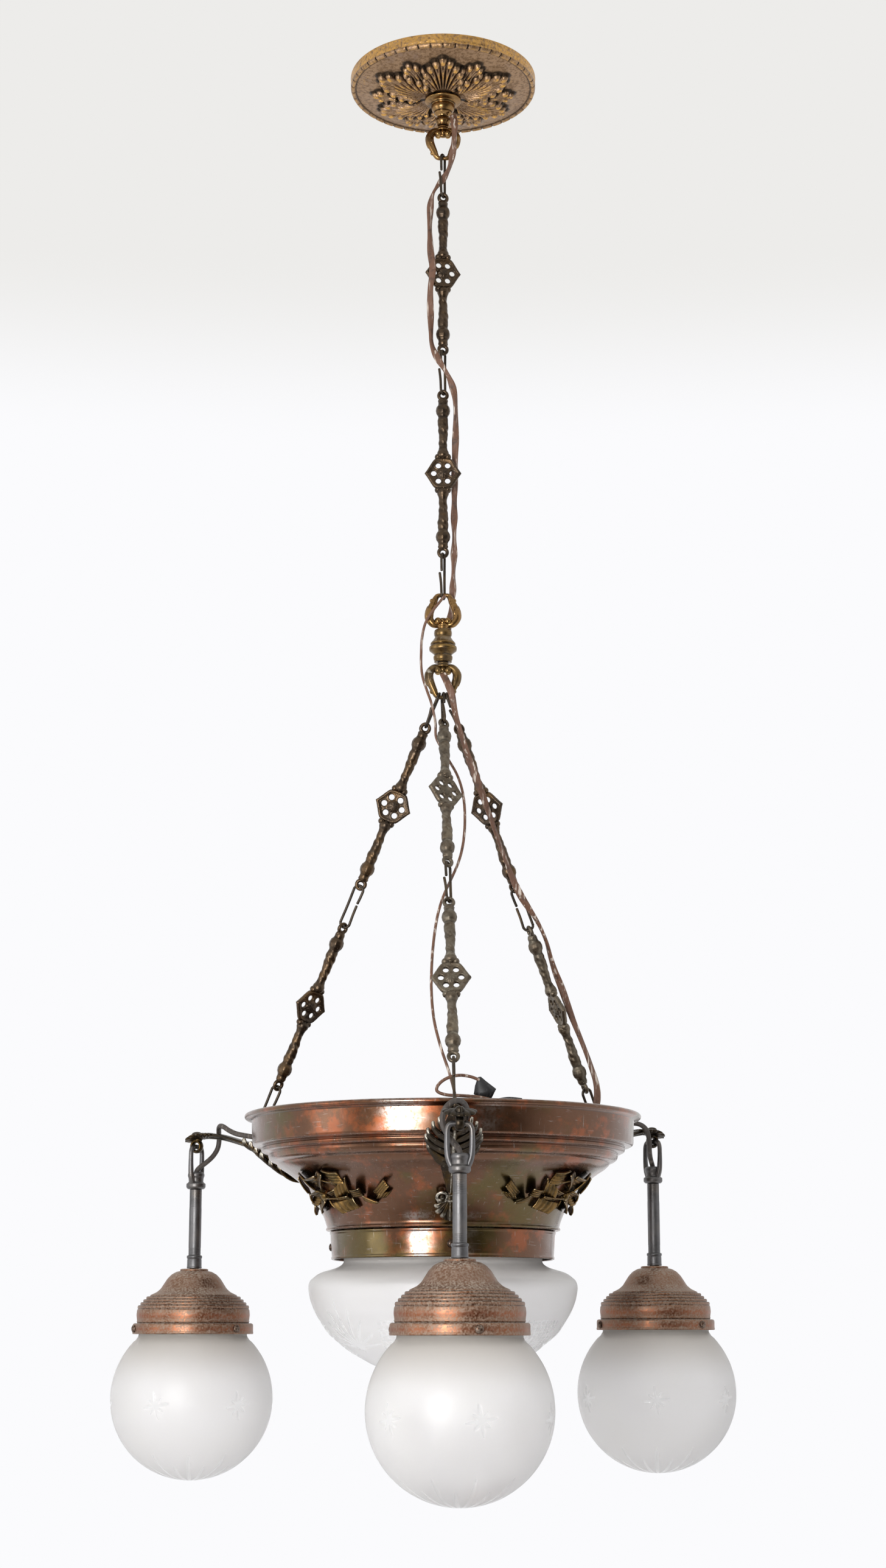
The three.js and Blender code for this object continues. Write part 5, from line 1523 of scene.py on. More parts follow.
class UpperChain:
    """The ceiling loop, the upper chain and the hub."""

    def __init__(self, castings: Castings) -> None:
        """Keeps the shared meshes."""
        self.castings = castings

    def build(self) -> None:
        """Makes the upper chain and the hub."""
        put("ceiling_loop", self.castings.loop, Finish.GOLD, "canopy", ["canopy_loop"], lifted(CANOPY_BAR))
        hook = self.castings.hook(UPPER_REACH).mesh("upper_hook")
        bodies = ("chain_upper", "chain_middle", "suspended")
        top = CANOPY_BAR + BAR_SEAT
        step = UPPER_REACH + LINK_LENGTH + 2 * EYE_SEAT
        links = (("upper", 12), ("lower", 0))
        for i, (place, turn) in enumerate((("upper", -22), ("middle", -26), ("lower", -18))):
            height = top - i * step
            spot = lifted(height, turn)
            put(f"wire_hook_{place}", hook, Finish.WIRE, bodies[i], [f"hook_{place}"], spot)
            if i < len(links):
                place, turn = links[i]
                spot = lifted(height - UPPER_REACH - EYE_SEAT - LINK_LENGTH / 2, turn)
                link = self.castings.links[i]
                put(f"cast_link_{place}", link, Finish.BRONZE, bodies[i], [f"link_{place}"], spot)
        flipped = lifted(HUB_TOP_BAR) @ Matrix.Rotation(math.pi, 4, "Y")
        put("hub_loop_top", self.castings.loop, Finish.GOLD, "suspended", ["hub_top_loop"], flipped)
        gold = Finish.PAINTED_GOLD
        foot = lifted(HUB_COLUMN_FOOT)
        put("hub_turned_column", self._column(), gold, "suspended", ["hub_column"], foot)
        put("hub_loop_bottom", self.castings.loop, gold, "suspended", ["hub_bottom_loop"], lifted(HUB_BAR))

    @staticmethod
    def _column() -> Mesh:
        """The hub's turned column, from its foot at z = 0."""
        corners = [
            (0, 29.8), (6.6, 29.8), (7.6, 28.8), (7.9, 26.4), (7.6, 24.2), (6.9, 23.4), (7.4, 22),
            (9.2, 19.4), (10.8, 17.6), (11.2, 16.4), (10.2, 15.6), (10.4, 14.8), (12, 14.2), (12.2, 12.6),
            (12, 10.6), (10.8, 9.8), (8.6, 8), (7.6, 6.9), (7.3, 6.4), (8.3, 5.6), (8.5, 4.4), (8.2, 2.2),
            (7.4, 1.2), (7.9, 0.5), (7.6, 0), (0, 0),
        ]
        profile = rounded(corners, 0.6, 1.2)
        height = profile[:, 1]
        deep = ((-0.45, 15.3, 0.7), (-0.4, 6.6, 0.8), (-0.35, 23.3, 0.8))
        proud = ((0.3, 16.6, 0.6), (0.3, 12.6, 1.4), (0.25, 5, 0.8))
        relief = banded(height, 0.55, *deep, *proud)
        return Form().turned(profile, 72, relief=np.clip(relief, 0, 1)).mesh("hub_turned_column")


class LowerChains:
    """The three chains from the hub to the arms' eyes."""

    TWISTS = (-40, 52, -48)
    LINKS = (
        (Finish.DUSTY_BRONZE, Finish.DUSTY_BRONZE),
        (Finish.BRONZE, Finish.BRONZE),
        (Finish.BRONZE, Finish.DUSTY_BRONZE),
    )

    def __init__(self, castings: Castings) -> None:
        """Keeps the shared meshes and makes the hooks that two chains share."""
        self.castings = castings
        self.hooks = [castings.hook(reach).mesh(f"lower_hook_{i}") for i, reach in enumerate(LOWER_REACH[:2])]

    def build(self) -> None:
        """Makes the pieces of each chain, in line with their solids."""
        for number, arm in enumerate(ARMS):
            line = ChainLine(arm)
            to_arm = line.length - LEANING_SEAT - LOWER_CHAIN + LOWER_REACH[2]
            last = self.castings.hook(to_arm).mesh(f"arm_hook_{arm.name}")
            upper, lower = self.LINKS[number]
            links = self.castings.links
            pieces = (
                ("hook", "top", self.hooks[0], LOWER_REACH[0], Finish.WIRE),
                ("link", "upper", links[number], LINK_LENGTH, upper),
                ("hook", "middle", self.hooks[1], LOWER_REACH[1], Finish.WIRE),
                ("link", "lower", links[(number + 1) % 3], LINK_LENGTH, lower),
                ("hook", "bottom", last, to_arm, Finish.WIRE),
            )
            reached = 0.0
            for (kind, place, mesh, size, dress), face in zip(pieces, arm.faces):
                at = reached + size / 2 if kind == "link" else reached
                node = f"chain_{arm.name}_{kind}_{place}"
                twist = self.TWISTS[number] if (kind, place) == ("hook", "middle") else 0
                spot = line.frame(at, face) @ Matrix.Rotation(math.radians(twist), 4, "Z")
                put(f"{arm.name}_{kind}_{place}", mesh, dress, "suspended", [node], spot)
                reached += size + EYE_SEAT


# Body


@dataclass
class Body:
    """The spun copper body, its gallery, the bowl with its lamp holder, and the ribbon bows."""

    segments: int = 220
    gallery_screws: tuple[float, float, float] = (4.0, -88.0, 136.0)
    screws_down: float = 13.0
    lip_over_screws: float = 6.1
    folds: tuple[Line, ...] = (
        ((-5.9, 0.375), (-3.2, 0.405), (-1, 0.26), (-3.8, 0.235)),
        ((-2.3, 0.36), (9, 0.385), (11, 0.23), (2, 0.185)),
        ((9.3, 0.39), (11.6, 0.55), (16.5, 0.57), (15.5, 0.4)),
        ((16.5, 0.46), (14.8, 0.33), (20.5, 0.275), (23.7, 0.33)),
        ((21, 0.46), (24.4, 0.41), (30, 0.59), (27.4, 0.64)),
        ((25.2, 0.48), (29.5, 0.455), (26, 0.36), (23.2, 0.4)),
        ((-9.5, 0.645), (-3.4, 0.6), (3, 0.84), (-1.5, 0.84)),
        ((5.2, 0.7), (1.5, 0.85), (8.5, 0.8), (11.2, 0.68)),
        ((10.6, 0.7), (4.2, 0.6), (2.6, 0.41), (8.5, 0.44)),
        ((-1.8, 0.53), (-4.5, 0.43), (2.9, 0.435), (3.3, 0.575)),
        ((-13.3, 0.6), (-8.5, 0.57), (-9.8, 0.82), (-15, 0.85)),
        ((-17.5, 0.55), (-22.5, 0.58), (-17, 0.8), (-12.5, 0.84)),
        ((-22.5, 0.575), (-17, 0.52), (-18.9, 0.385), (-26, 0.375)),
        ((-20, 0.33), (-25, 0.4), (-31, 0.26), (-25, 0.2)),
        ((-15, 0.425), (-7.2, 0.38), (-15.7, 0.21), (-23, 0.2)),
        ((-5.5, 0.44), (-3, 0.34), (8, 0.36), (8.5, 0.45)),
        ((-8, 0.56), (-10, 0.8), (-1.5, 0.84), (-5, 0.6)),
        ((-17.5, 0.53), (-15.5, 0.41), (-6, 0.4), (-8, 0.58)),
        ((2, 0.6), (0.5, 0.78), (5.5, 0.72), (5, 0.56)),
        ((-21, 0.4), (-17.5, 0.5), (-12, 0.42), (-15, 0.34)),
    )

    def build(self) -> None:
        """Makes the body's pieces."""
        put("copper_body", self._shell(), Finish.COPPER, "suspended", ["body_shell"], lifted(RIM))
        gallery = RIM + SHELL_FLOOR - SEAM
        put("copper_gallery", self._gallery(), Finish.COPPER, "suspended", ["gallery_ring"], lifted(gallery))
        lip = gallery - self.screws_down + self.lip_over_screws
        put("cut_bowl", self._bowl(), Finish.GLASS, "suspended", ["glass_bowl"], lifted(lip))
        holder = RIM + SHELL_FLOOR + 1.5
        put("bowl_holder", self._holder(), Finish.STEEL, "suspended", ["bowl_lampholder"], lifted(holder))
        for name, azimuth, mirrored in (("left", -51, 1), ("right", 54.5, -1), ("rear", 186.6, 1)):
            mesh = self._bow(name, mirrored)
            put(f"bow_{name}", mesh, Finish.RIBBON, "suspended", [f"ribbon_bow_{name}"], lifted(RIM, azimuth))

    @staticmethod
    def _spun_wave_and_painted_sheen(radius: Array, height: Array, angle: Array) -> Pair:
        """The unevenness of spun sheet, and its relief, which is high in a painted highlight near the front.
        """
        wave = 0.16 * np.sin(3 * angle + 0.05 * height) + 0.1 * np.sin(7 * angle + 1.3 + 0.11 * height)
        wave = wave + 0.05 * np.sin(17 * angle + 0.4 * height)
        azimuth = np.degrees(astray(angle, 2 * math.pi))
        # Painted highlight: a silvery patch just left and right of the front, on the band, the gallery and
        # the cone's foot, where the highlights fall. Its high relief gives it the worn colour.
        rubbed = np.maximum(bell(azimuth, -12.0, 9.0), 0.75 * bell(azimuth, 13.0, 6.0))
        uneven = 0.8 + 0.2 * np.sin(9 * angle + 0.35 * height) * np.sin(23 * angle - 0.2 * height)
        level = np.maximum(ease(-25.5, -22.0, height), bell(height, -86.0, 6.0)) * ease(88.0, 92.0, radius)
        return wave, 0.5 + 0.42 * rubbed * uneven * level

    def _shell(self) -> Mesh:
        """The body's shell, from its rolled edge to the floor with its hole, as one closed sheet."""
        turn = np.radians(np.arange(200, -61, -20))
        roll = np.stack([165.2 + 2.4 * np.cos(turn), 2.2 * np.sin(turn)], -1)
        band = [
            (161.6, -3.2), (161.4, -5.5), (160.6, -22.2), (160.2, -23.6), (158.8, -24.6), (154, -25.2),
            (152.6, -25.8), (153.4, -27.2), (152.8, -29.2), (150.6, -30.2), (148.6, -30.6), (147, -31.4),
            (147.4, -32.8), (146.6, -35.4), (144.6, -37.2), (142, -38.2), (140.2, -39.2), (139.4, -40.6),
        ]
        cone = np.stack(cone_point(np.linspace(1, 0, 26))[:2], -1)
        foot = [
            (98, -92.4), (98.4, -93.4), (97.6, -94.5), (94, -94.5), (60, -94.5), (60, -93.3), (94, -93.3),
        ]
        inner = [
            (96.2, -91.5), (99.4, -80.4), (104.6, -69), (112.8, -58), (124, -48.6), (137.6, -40.4),
            (141.8, -33), (150.8, -25.8), (158.6, -22.2), (160, -4), (161.2, -1.8),
        ]
        bends = rounded(band, 0.7, 1.6), cone[1:], rounded(foot, 0.8, 4.0), rounded(inner, 1.5, 5.0)
        profile = np.vstack([roll, *bends])
        return Form().turned(profile, self.segments, self._spun_wave_and_painted_sheen, closed=True).mesh("copper_body")

    def _gallery(self) -> Mesh:
        """The gallery ring with its three screws, from its top at z = 0."""
        corners = [
            (72, 0), (93.4, 0), (94.8, -0.8), (94.6, -2.2), (94.2, -3), (92.9, -20.6), (93.4, -21.6),
            (93.3, -23), (92.4, -23.6), (91.2, -23.4), (91.6, -20.8), (92.8, -3), (93.2, -1.2), (72, -1.2),
        ]
        profile = rounded(corners, 0.5, 1.8, closed=True)
        form = Form().turned(profile, self.segments, self._spun_wave_and_painted_sheen, closed=True)
        for azimuth in self.gallery_screws:
            form.add(round_screw(93.0, 84.0), lifted(-self.screws_down, azimuth))
        return form.mesh("copper_gallery")

    def _bowl(self) -> Mesh:
        """The cut glass bowl, with its lip at z = 0."""
        outer = rounded(
            [
                (88, 0), (88, -2.6), (83, -5.4), (83, -19), (86, -21.6), (90, -23.5), (103.6, -27.4),
                (111.2, -33.5), (112.6, -39), (111, -49), (106.6, -60), (95.6, -77), (79.2, -90.5),
                (58.6, -102), (32.6, -111), (12, -113.7), (0, -114),
            ],
            5.0, 1.5,
        )
        inner = rounded(
            [
                (0, -110), (31.8, -107), (56.6, -98), (76.6, -87.3), (101.6, -59.4), (108, -38),
                (100.6, -31.4), (79, -22), (79, 0), (88, 0),
            ],
            5.0, 5.0,
        )
        lengths = np.linalg.norm(np.diff(outer, axis=0), axis=1)
        from_middle = np.append(np.cumsum(lengths[::-1])[::-1], 0)
        unreached = np.full(len(inner), -50.0)

        def cuts(radius: Array, height: Array, angle: Array) -> Pair:
            """Depth and relief of the leaf cuts and of the checked panels between them."""
            away = np.append(from_middle, unreached)[:, None] + 0 * height
            degrees = np.degrees(angle)
            deep = np.zeros_like(radius)
            for centre in range(18, 360, 72):
                side = np.radians(astray(degrees - centre, 360)) * np.maximum(radius, 20)
                along = away - 88.0
                for ray in range(-4, 5):
                    lean = math.radians(ray * 20)
                    size = 54.0 - 4.5 * abs(ray)
                    forward = along * math.cos(lean) + side * math.sin(lean) + 6
                    off = side * math.cos(lean) - along * math.sin(lean)
                    share = forward / size
                    wide = 3.0 * np.sqrt(np.clip(share * (1 - share) * 4, 0, 1)) + 0.01
                    deep = np.maximum(deep, (share > 0) * (share < 1) * np.clip(1 - np.abs(off) / wide, 0, 1))
                panel = np.radians(astray(degrees - centre - 36, 360)) * np.maximum(radius, 20)
                inside = (np.abs(panel) < 24) * (away > 76) * (away < 118)
                weave = [bell(line % 6.0, 3.0, 1.0) for line in (panel + 0.3 * away, away - 0.1 * panel)]
                deep = np.maximum(deep, 0.75 * inside * np.maximum(*weave))
            return -0.45 * deep, 0.5 - 0.5 * deep

        return Form().turned(np.vstack([outer, inner]), 640, cuts).mesh("cut_bowl")

    @staticmethod
    def _holder() -> Mesh:
        """The cross-bar that rests on the body's floor at z = 0, and the lamp holder that hangs from it."""
        form = Form()
        outline = rounded([(-7, 0), (7, 0), (7, 2), (-7, 2)], 0.5, 2.0, closed=True)
        rows = [np.c_[np.full(len(outline), x), outline] for x in np.linspace(-69, 69, 24)]
        form.grid(capped(np.array(rows)), columns=True)
        corners = [
            (0, -62), (11, -62), (12.4, -60.4), (12.6, -46), (15.2, -44.4), (15.4, -36), (14, -34.4),
            (14, -20.6), (12.4, -18.8), (6, -16), (5, -14), (5, 0.6), (0, 0.6),
        ]
        form.turned(rounded(corners, 0.7, 2.0), 48)
        return form.mesh("bowl_holder")

    def _bow(self, name: str, mirrored: int) -> Mesh:
        """A ribbon bow on the cone, round azimuth 0 of its own frame.

        Args:
            name: Which bow.
            mirrored: 1 for a long tail towards +X, -1 for one towards -X.

        Returns:
            The bow's mesh.
        """
        form = Form()
        for number, corners in enumerate(self.folds):
            self._fold(form, corners, mirrored, number)
        for azimuth, t, size in ((-8.5, 0.45, 4.6), (-9.4, 0.5, 3.4)):
            radius, height, out_r, out_h = cone_point(t)
            angle = math.radians(azimuth * mirrored)
            far = float(radius + out_r * 3.0)
            centre = (far * math.sin(angle), -far * math.cos(angle), float(height + out_h * 3.0))
            form.ball(centre, (size * 0.8, size * 0.75, size), 0.8)
        return form.mesh(f"bow_{name}")

    @staticmethod
    def _fold(form: Form, corners: Line, mirrored: int, number: int) -> None:
        """Adds one flat, ribbed fold of the ribbon.

        Args:
            form: The bow.
            corners: Its four corners, each an azimuth from the bow's middle and a share up the cone.
            mirrored: 1 or -1, which side the long tail goes.
            number: Which fold, which sets the way that it tilts.
        """
        near, far = ((1.4, 6.4), (6.4, 1.4))[number % 2]
        a, b, c, d = (np.array(corner, float)[:, None, None] for corner in corners)
        shares = np.linspace(0, 1, 21)
        ribs = 0.5 - 0.5 * np.cos(shares * 4 * 2 * math.pi)
        edges = bell(shares, 0, 0.07) + bell(shares, 1, 0.07)
        front = 0.7 + 0.7 * banded(shares, 0.8 * ribs, (0.6, 0, 0.06), (0.6, 1, 0.06))
        thick = np.append(front, np.full_like(shares, -0.6))
        # Painted highlight: the fold's edges get a high relief, and so the ribbon's pale worn colour.
        relief = np.append(0.22 + 0.3 * ribs + 0.6 * edges, np.full_like(shares, 0.1))
        u = np.linspace(0, 1, 9)[:, None]
        v = np.append(shares, shares[::-1])
        azimuth, t = (a * (1 - v) + b * v) * (1 - u) + (d * (1 - v) + c * v) * u
        stand = near * (1 - v) + far * v + thick + 1.1 * np.sin(math.pi * u)
        radius, height, out_r, out_h = cone_point(t)
        turn = np.radians(azimuth * mirrored)
        reach = radius + out_r * stand
        rows = capped(np.stack([reach * np.sin(turn), -reach * np.cos(turn), height + out_h * stand], -1))
        form.grid(rows, relief, columns=True)


def round_screw(head: float, tip: float) -> Form:
    """A small round-headed screw that points outwards at azimuth 0.

    Args:
        head: The radius at which its head starts.
        tip: The radius of its tip.

    Returns:
        The screw, along -Y.
    """
    corners = [
        (0, tip), (1, tip), (1.3, tip + 1), (1.3, head), (3.2, head), (3.4, head + 0.7), (2.8, head + 1.8),
        (1.5, head + 2.5), (0, head + 2.6),
    ]
    form = Form().turned(rounded(corners, 0.35, 1.0), 28, relief=0.12)
    return Form().add(form, Matrix.Rotation(math.pi / 2, 4, "X"))


# Arms


@dataclass
class Arm:
    """One cast arm: a leaf on the cone, a shell at its foot, the bar, its eye and lug, and the tip."""

    place: ArmPlace
    thickness: float = 4.0

    def build(self) -> None:
        """Makes the arm in its own frame."""
        form = Form()
        self._bar(form)
        self._leaf(form)
        self._foot_shell(form)
        self._tip(form)
        self._eye_and_lug(form)
        name = self.place.name
        mesh = form.mesh(f"cast_arm_{name}")
        put(f"cast_arm_{name}", mesh, Finish.ARM, "suspended", [f"arm_{name}"], self.place.frame())

    def _stations(self) -> Array:
        """Radius, height and half width along the arm, smoothed and lifted."""
        cone = []
        for t, half in ((0.05, 4), (0.14, 6), (0.26, 5), (0.38, 4.2), (0.5, 3.6), (0.68, 6)):
            radius, height, out_r, out_h = cone_point(t)
            cone.append((radius + out_r * 2.5, height + out_h * 2.5, half))
        rest = [
            (138, -45.5, 10), (148, -38.8, 13), (160, -30.8, 13), (175, -21.8, 10), (194, -17, 8),
            (212, -13.4, 6.8), (225, -12.8, 6.6), (232, -13.2, 6.8),
        ]
        line = through(cone + rest, 8)
        line[:, 1] += self.place.lift_at(line[:, 0])
        return line

    def _bar(self, form: Form) -> None:
        """Adds the arm's bar, with a raised midrib below and a flat back above."""
        line = self._stations()
        along = np.gradient(line[:, :2], axis=0)
        along /= np.linalg.norm(along, axis=1, keepdims=True)
        up = np.stack([-along[:, 1], along[:, 0]], -1)
        shares = np.linspace(-1, 1, 15)
        ribs = 0.5 + 0.5 * np.cos(shares * 2.5 * math.pi)
        below = -(0.28 + 0.22 * (1 - shares**2) + 0.34 * bell(shares, 0, 0.16) + 0.1 * ribs)
        thick = np.append(below, 0.34 * (1 - shares**4)) * self.thickness
        across = np.append(shares, shares[::-1])
        value = 0.3 + 0.6 * bell(shares, 0, 0.18) + 0.3 * bell(np.abs(shares), 0.97, 0.1)
        relief = np.append(value, np.full_like(shares, 0.45))
        radius, height, half = line.T[:, :, None]
        up_r, up_h = up.T[:, :, None]
        rows = np.stack([radius + up_r * thick, across * half, height + up_h * thick], -1)
        form.grid(capped(rows), relief, columns=True)

    def _leaf(self, form: Form) -> None:
        """Adds the leaf's curled lobes on both sides of the arm, each a grooved, pointed strip."""
        line = self._stations()
        sizes = (16.0, 20.0, 21.8, 20.6, 17.0, 12.5)
        steps = ((0.12, -6, -2.2), (0.4, -1.5, -3.6), (0.72, 4.2, -3.4), (0.96, 9.4, -1.2), (1, 12, 2.2))
        widths = (1.6, 2.7, 3.0, 2.8, 1.5)
        for size, radius in zip(sizes, range(139, 175, 7)):
            index = int(np.argmin(np.abs(line[:, 0] - radius)))
            along = line[index + 2, :2] - line[index - 2, :2]
            along /= np.linalg.norm(along)
            up = np.array([-along[1], along[0]])
            for side in (-1, 1):
                points = []
                for share, forward, rise in steps:
                    spot = line[index, :2] + along * forward + up * rise
                    points.append((spot[0], side * share * size, spot[1]))
                path = through(points, 5)
                run = np.linspace(0, 1, len(path))
                wide = np.interp(run, np.linspace(0, 1, len(widths)), widths)
                # Painted highlight: the relief rises towards each lobe's tip, so that the tip takes the arm's
                # near-white worn colour.
                form.tube(
                    path, wide, 12, flat=1.6 / wide, across=(along[0], 0, along[1]), groove=0.45,
                    relief=0.35 + 0.6 * ease(0.45, 1.0, run),
                )

    def _foot_shell(self, form: Form) -> None:
        """Adds the shell at the arm's foot: petals that fan down the cone under two small rings."""
        radius, height, out_r, out_h = (float(v) for v in cone_point(0.36))
        hub = np.array([radius + out_r * 3.2, 0, height + out_h * 3.2])
        down = np.array([out_h, 0, -out_r])
        normal = np.array([out_r, 0, out_h])
        for k in range(-4, 5):
            lean = math.radians(19 * k)
            way = down * math.cos(lean) + np.array([0, 1.0, 0]) * math.sin(lean)
            size = 19.0 - 0.55 * k * k
            steps = ((0.12, 0.6), (0.45, 1.8), (0.8, 1.9), (1, 0.2))
            path = through([hub + way * size * share + normal * rise for share, rise in steps], 4)
            run = np.linspace(0, 1, len(path))
            wide = np.interp(run, [0, 0.6, 0.88, 1], [0.9, 2.0, 2.5, 1.7])
            form.tube(path, wide, 12, flat=0.62, across=np.cross(normal, way), relief=0.35 + 0.63 * run)
        for side in (-1, 1):
            centre = hub + (0, side * 6.6, 0) - down * 1.5 + normal * 1.6
            form.tube(circle(centre, (0, 4.2, 0), 4.2 * down, 28), 1.25, 10, closed=True, relief=0.9)
            form.ball(centre, (1.8, 2.2, 1.8), 0.8)
        form.ball(hub + normal * 2.0, (3.0, 3.4, 3.0), 0.9)
        form.ball(hub - down * 4.5 + normal * 1.4, (2.4, 2.6, 2.6), 0.8)

    def _tip(self, form: Form) -> None:
        """Adds the scalloped, fluted plate at the arm's tip."""
        centre, middle_height, reach = 231.0, -13.4, 16.4
        turn = round_turn(108)
        ahead = np.clip(np.cos(turn), 0, 1)
        scallop = np.abs(np.cos(turn * 9))
        corner = 3.4
        square = (np.abs(np.cos(turn)) ** corner + np.abs(np.sin(turn)) ** corner) ** (-1 / corner)
        outer = (10.8 + 5.6 * ahead) * (1 + 0.75 * (square - 1)) + 0.9 * scallop
        section = np.array([
            (0, 1.4), (0.3, 1.4), (0.6, 1.2), (0.85, 1), (1, 0.5), (1.01, -0.4), (0.85, -1.3), (0.55, -2.3),
            (0.25, -2.9), (0, -3),
        ])
        share, high = section.T[:, :, None]
        x, y = outer * share * np.cos(turn), outer * share * np.sin(turn)
        flute = 0.5 * scallop * np.sin(math.pi * np.minimum(share, 1)) * np.sign(high)
        drop = -5.6 * np.clip(x / reach, 0, 1) ** 2
        height = high + flute + drop + middle_height + self.place.lift_at(centre)
        form.grid(np.stack([centre + x, 0.98 * y, height], -1), 0.12 + 0.42 * scallop * share, columns=True)

    def _eye_and_lug(self, form: Form) -> None:
        """Adds the eye for the chain's hook, and the lug that the yoke hangs on."""
        lean = math.asin(ARM_EYE_RADIUS / LOWER_CHAIN)
        eye = np.array([ARM_EYE_RADIUS, 0, ARM_EYE - RIM + float(self.place.lift_at(ARM_EYE_RADIUS))])
        along_chain = (-4.5 * math.sin(lean), 0, 4.5 * math.cos(lean))
        form.tube(circle(eye, (0, 4.5, 0), along_chain, 32), 1.5, 12, closed=True, relief=0.7)
        stalk = through([eye + (1.6, 0, -4.4), eye + (1.8, 0, -8), eye + (1, 0, -13.5)], 4)
        form.tube(stalk, np.linspace(2.2, 3.2, len(stalk)), 12)
        lug = np.array([PENDANT_RADIUS, 0, float(self.place.lift_at(PENDANT_RADIUS))])
        hang = circle(lug + (0, 0, -23.6), (4.4, 0, 0), (0, 0, 4.7), 32)
        form.tube(hang, 1.5, 12, closed=True, flat=2.2, relief=0.6)
        block = through([lug + (0, 0, height) for height in (-18.4, -15.5, -13.0)], 3)
        form.tube(block, 5.0, 16, flat=0.74, across=(1, 0, 0), relief=0.5)


# Pendants


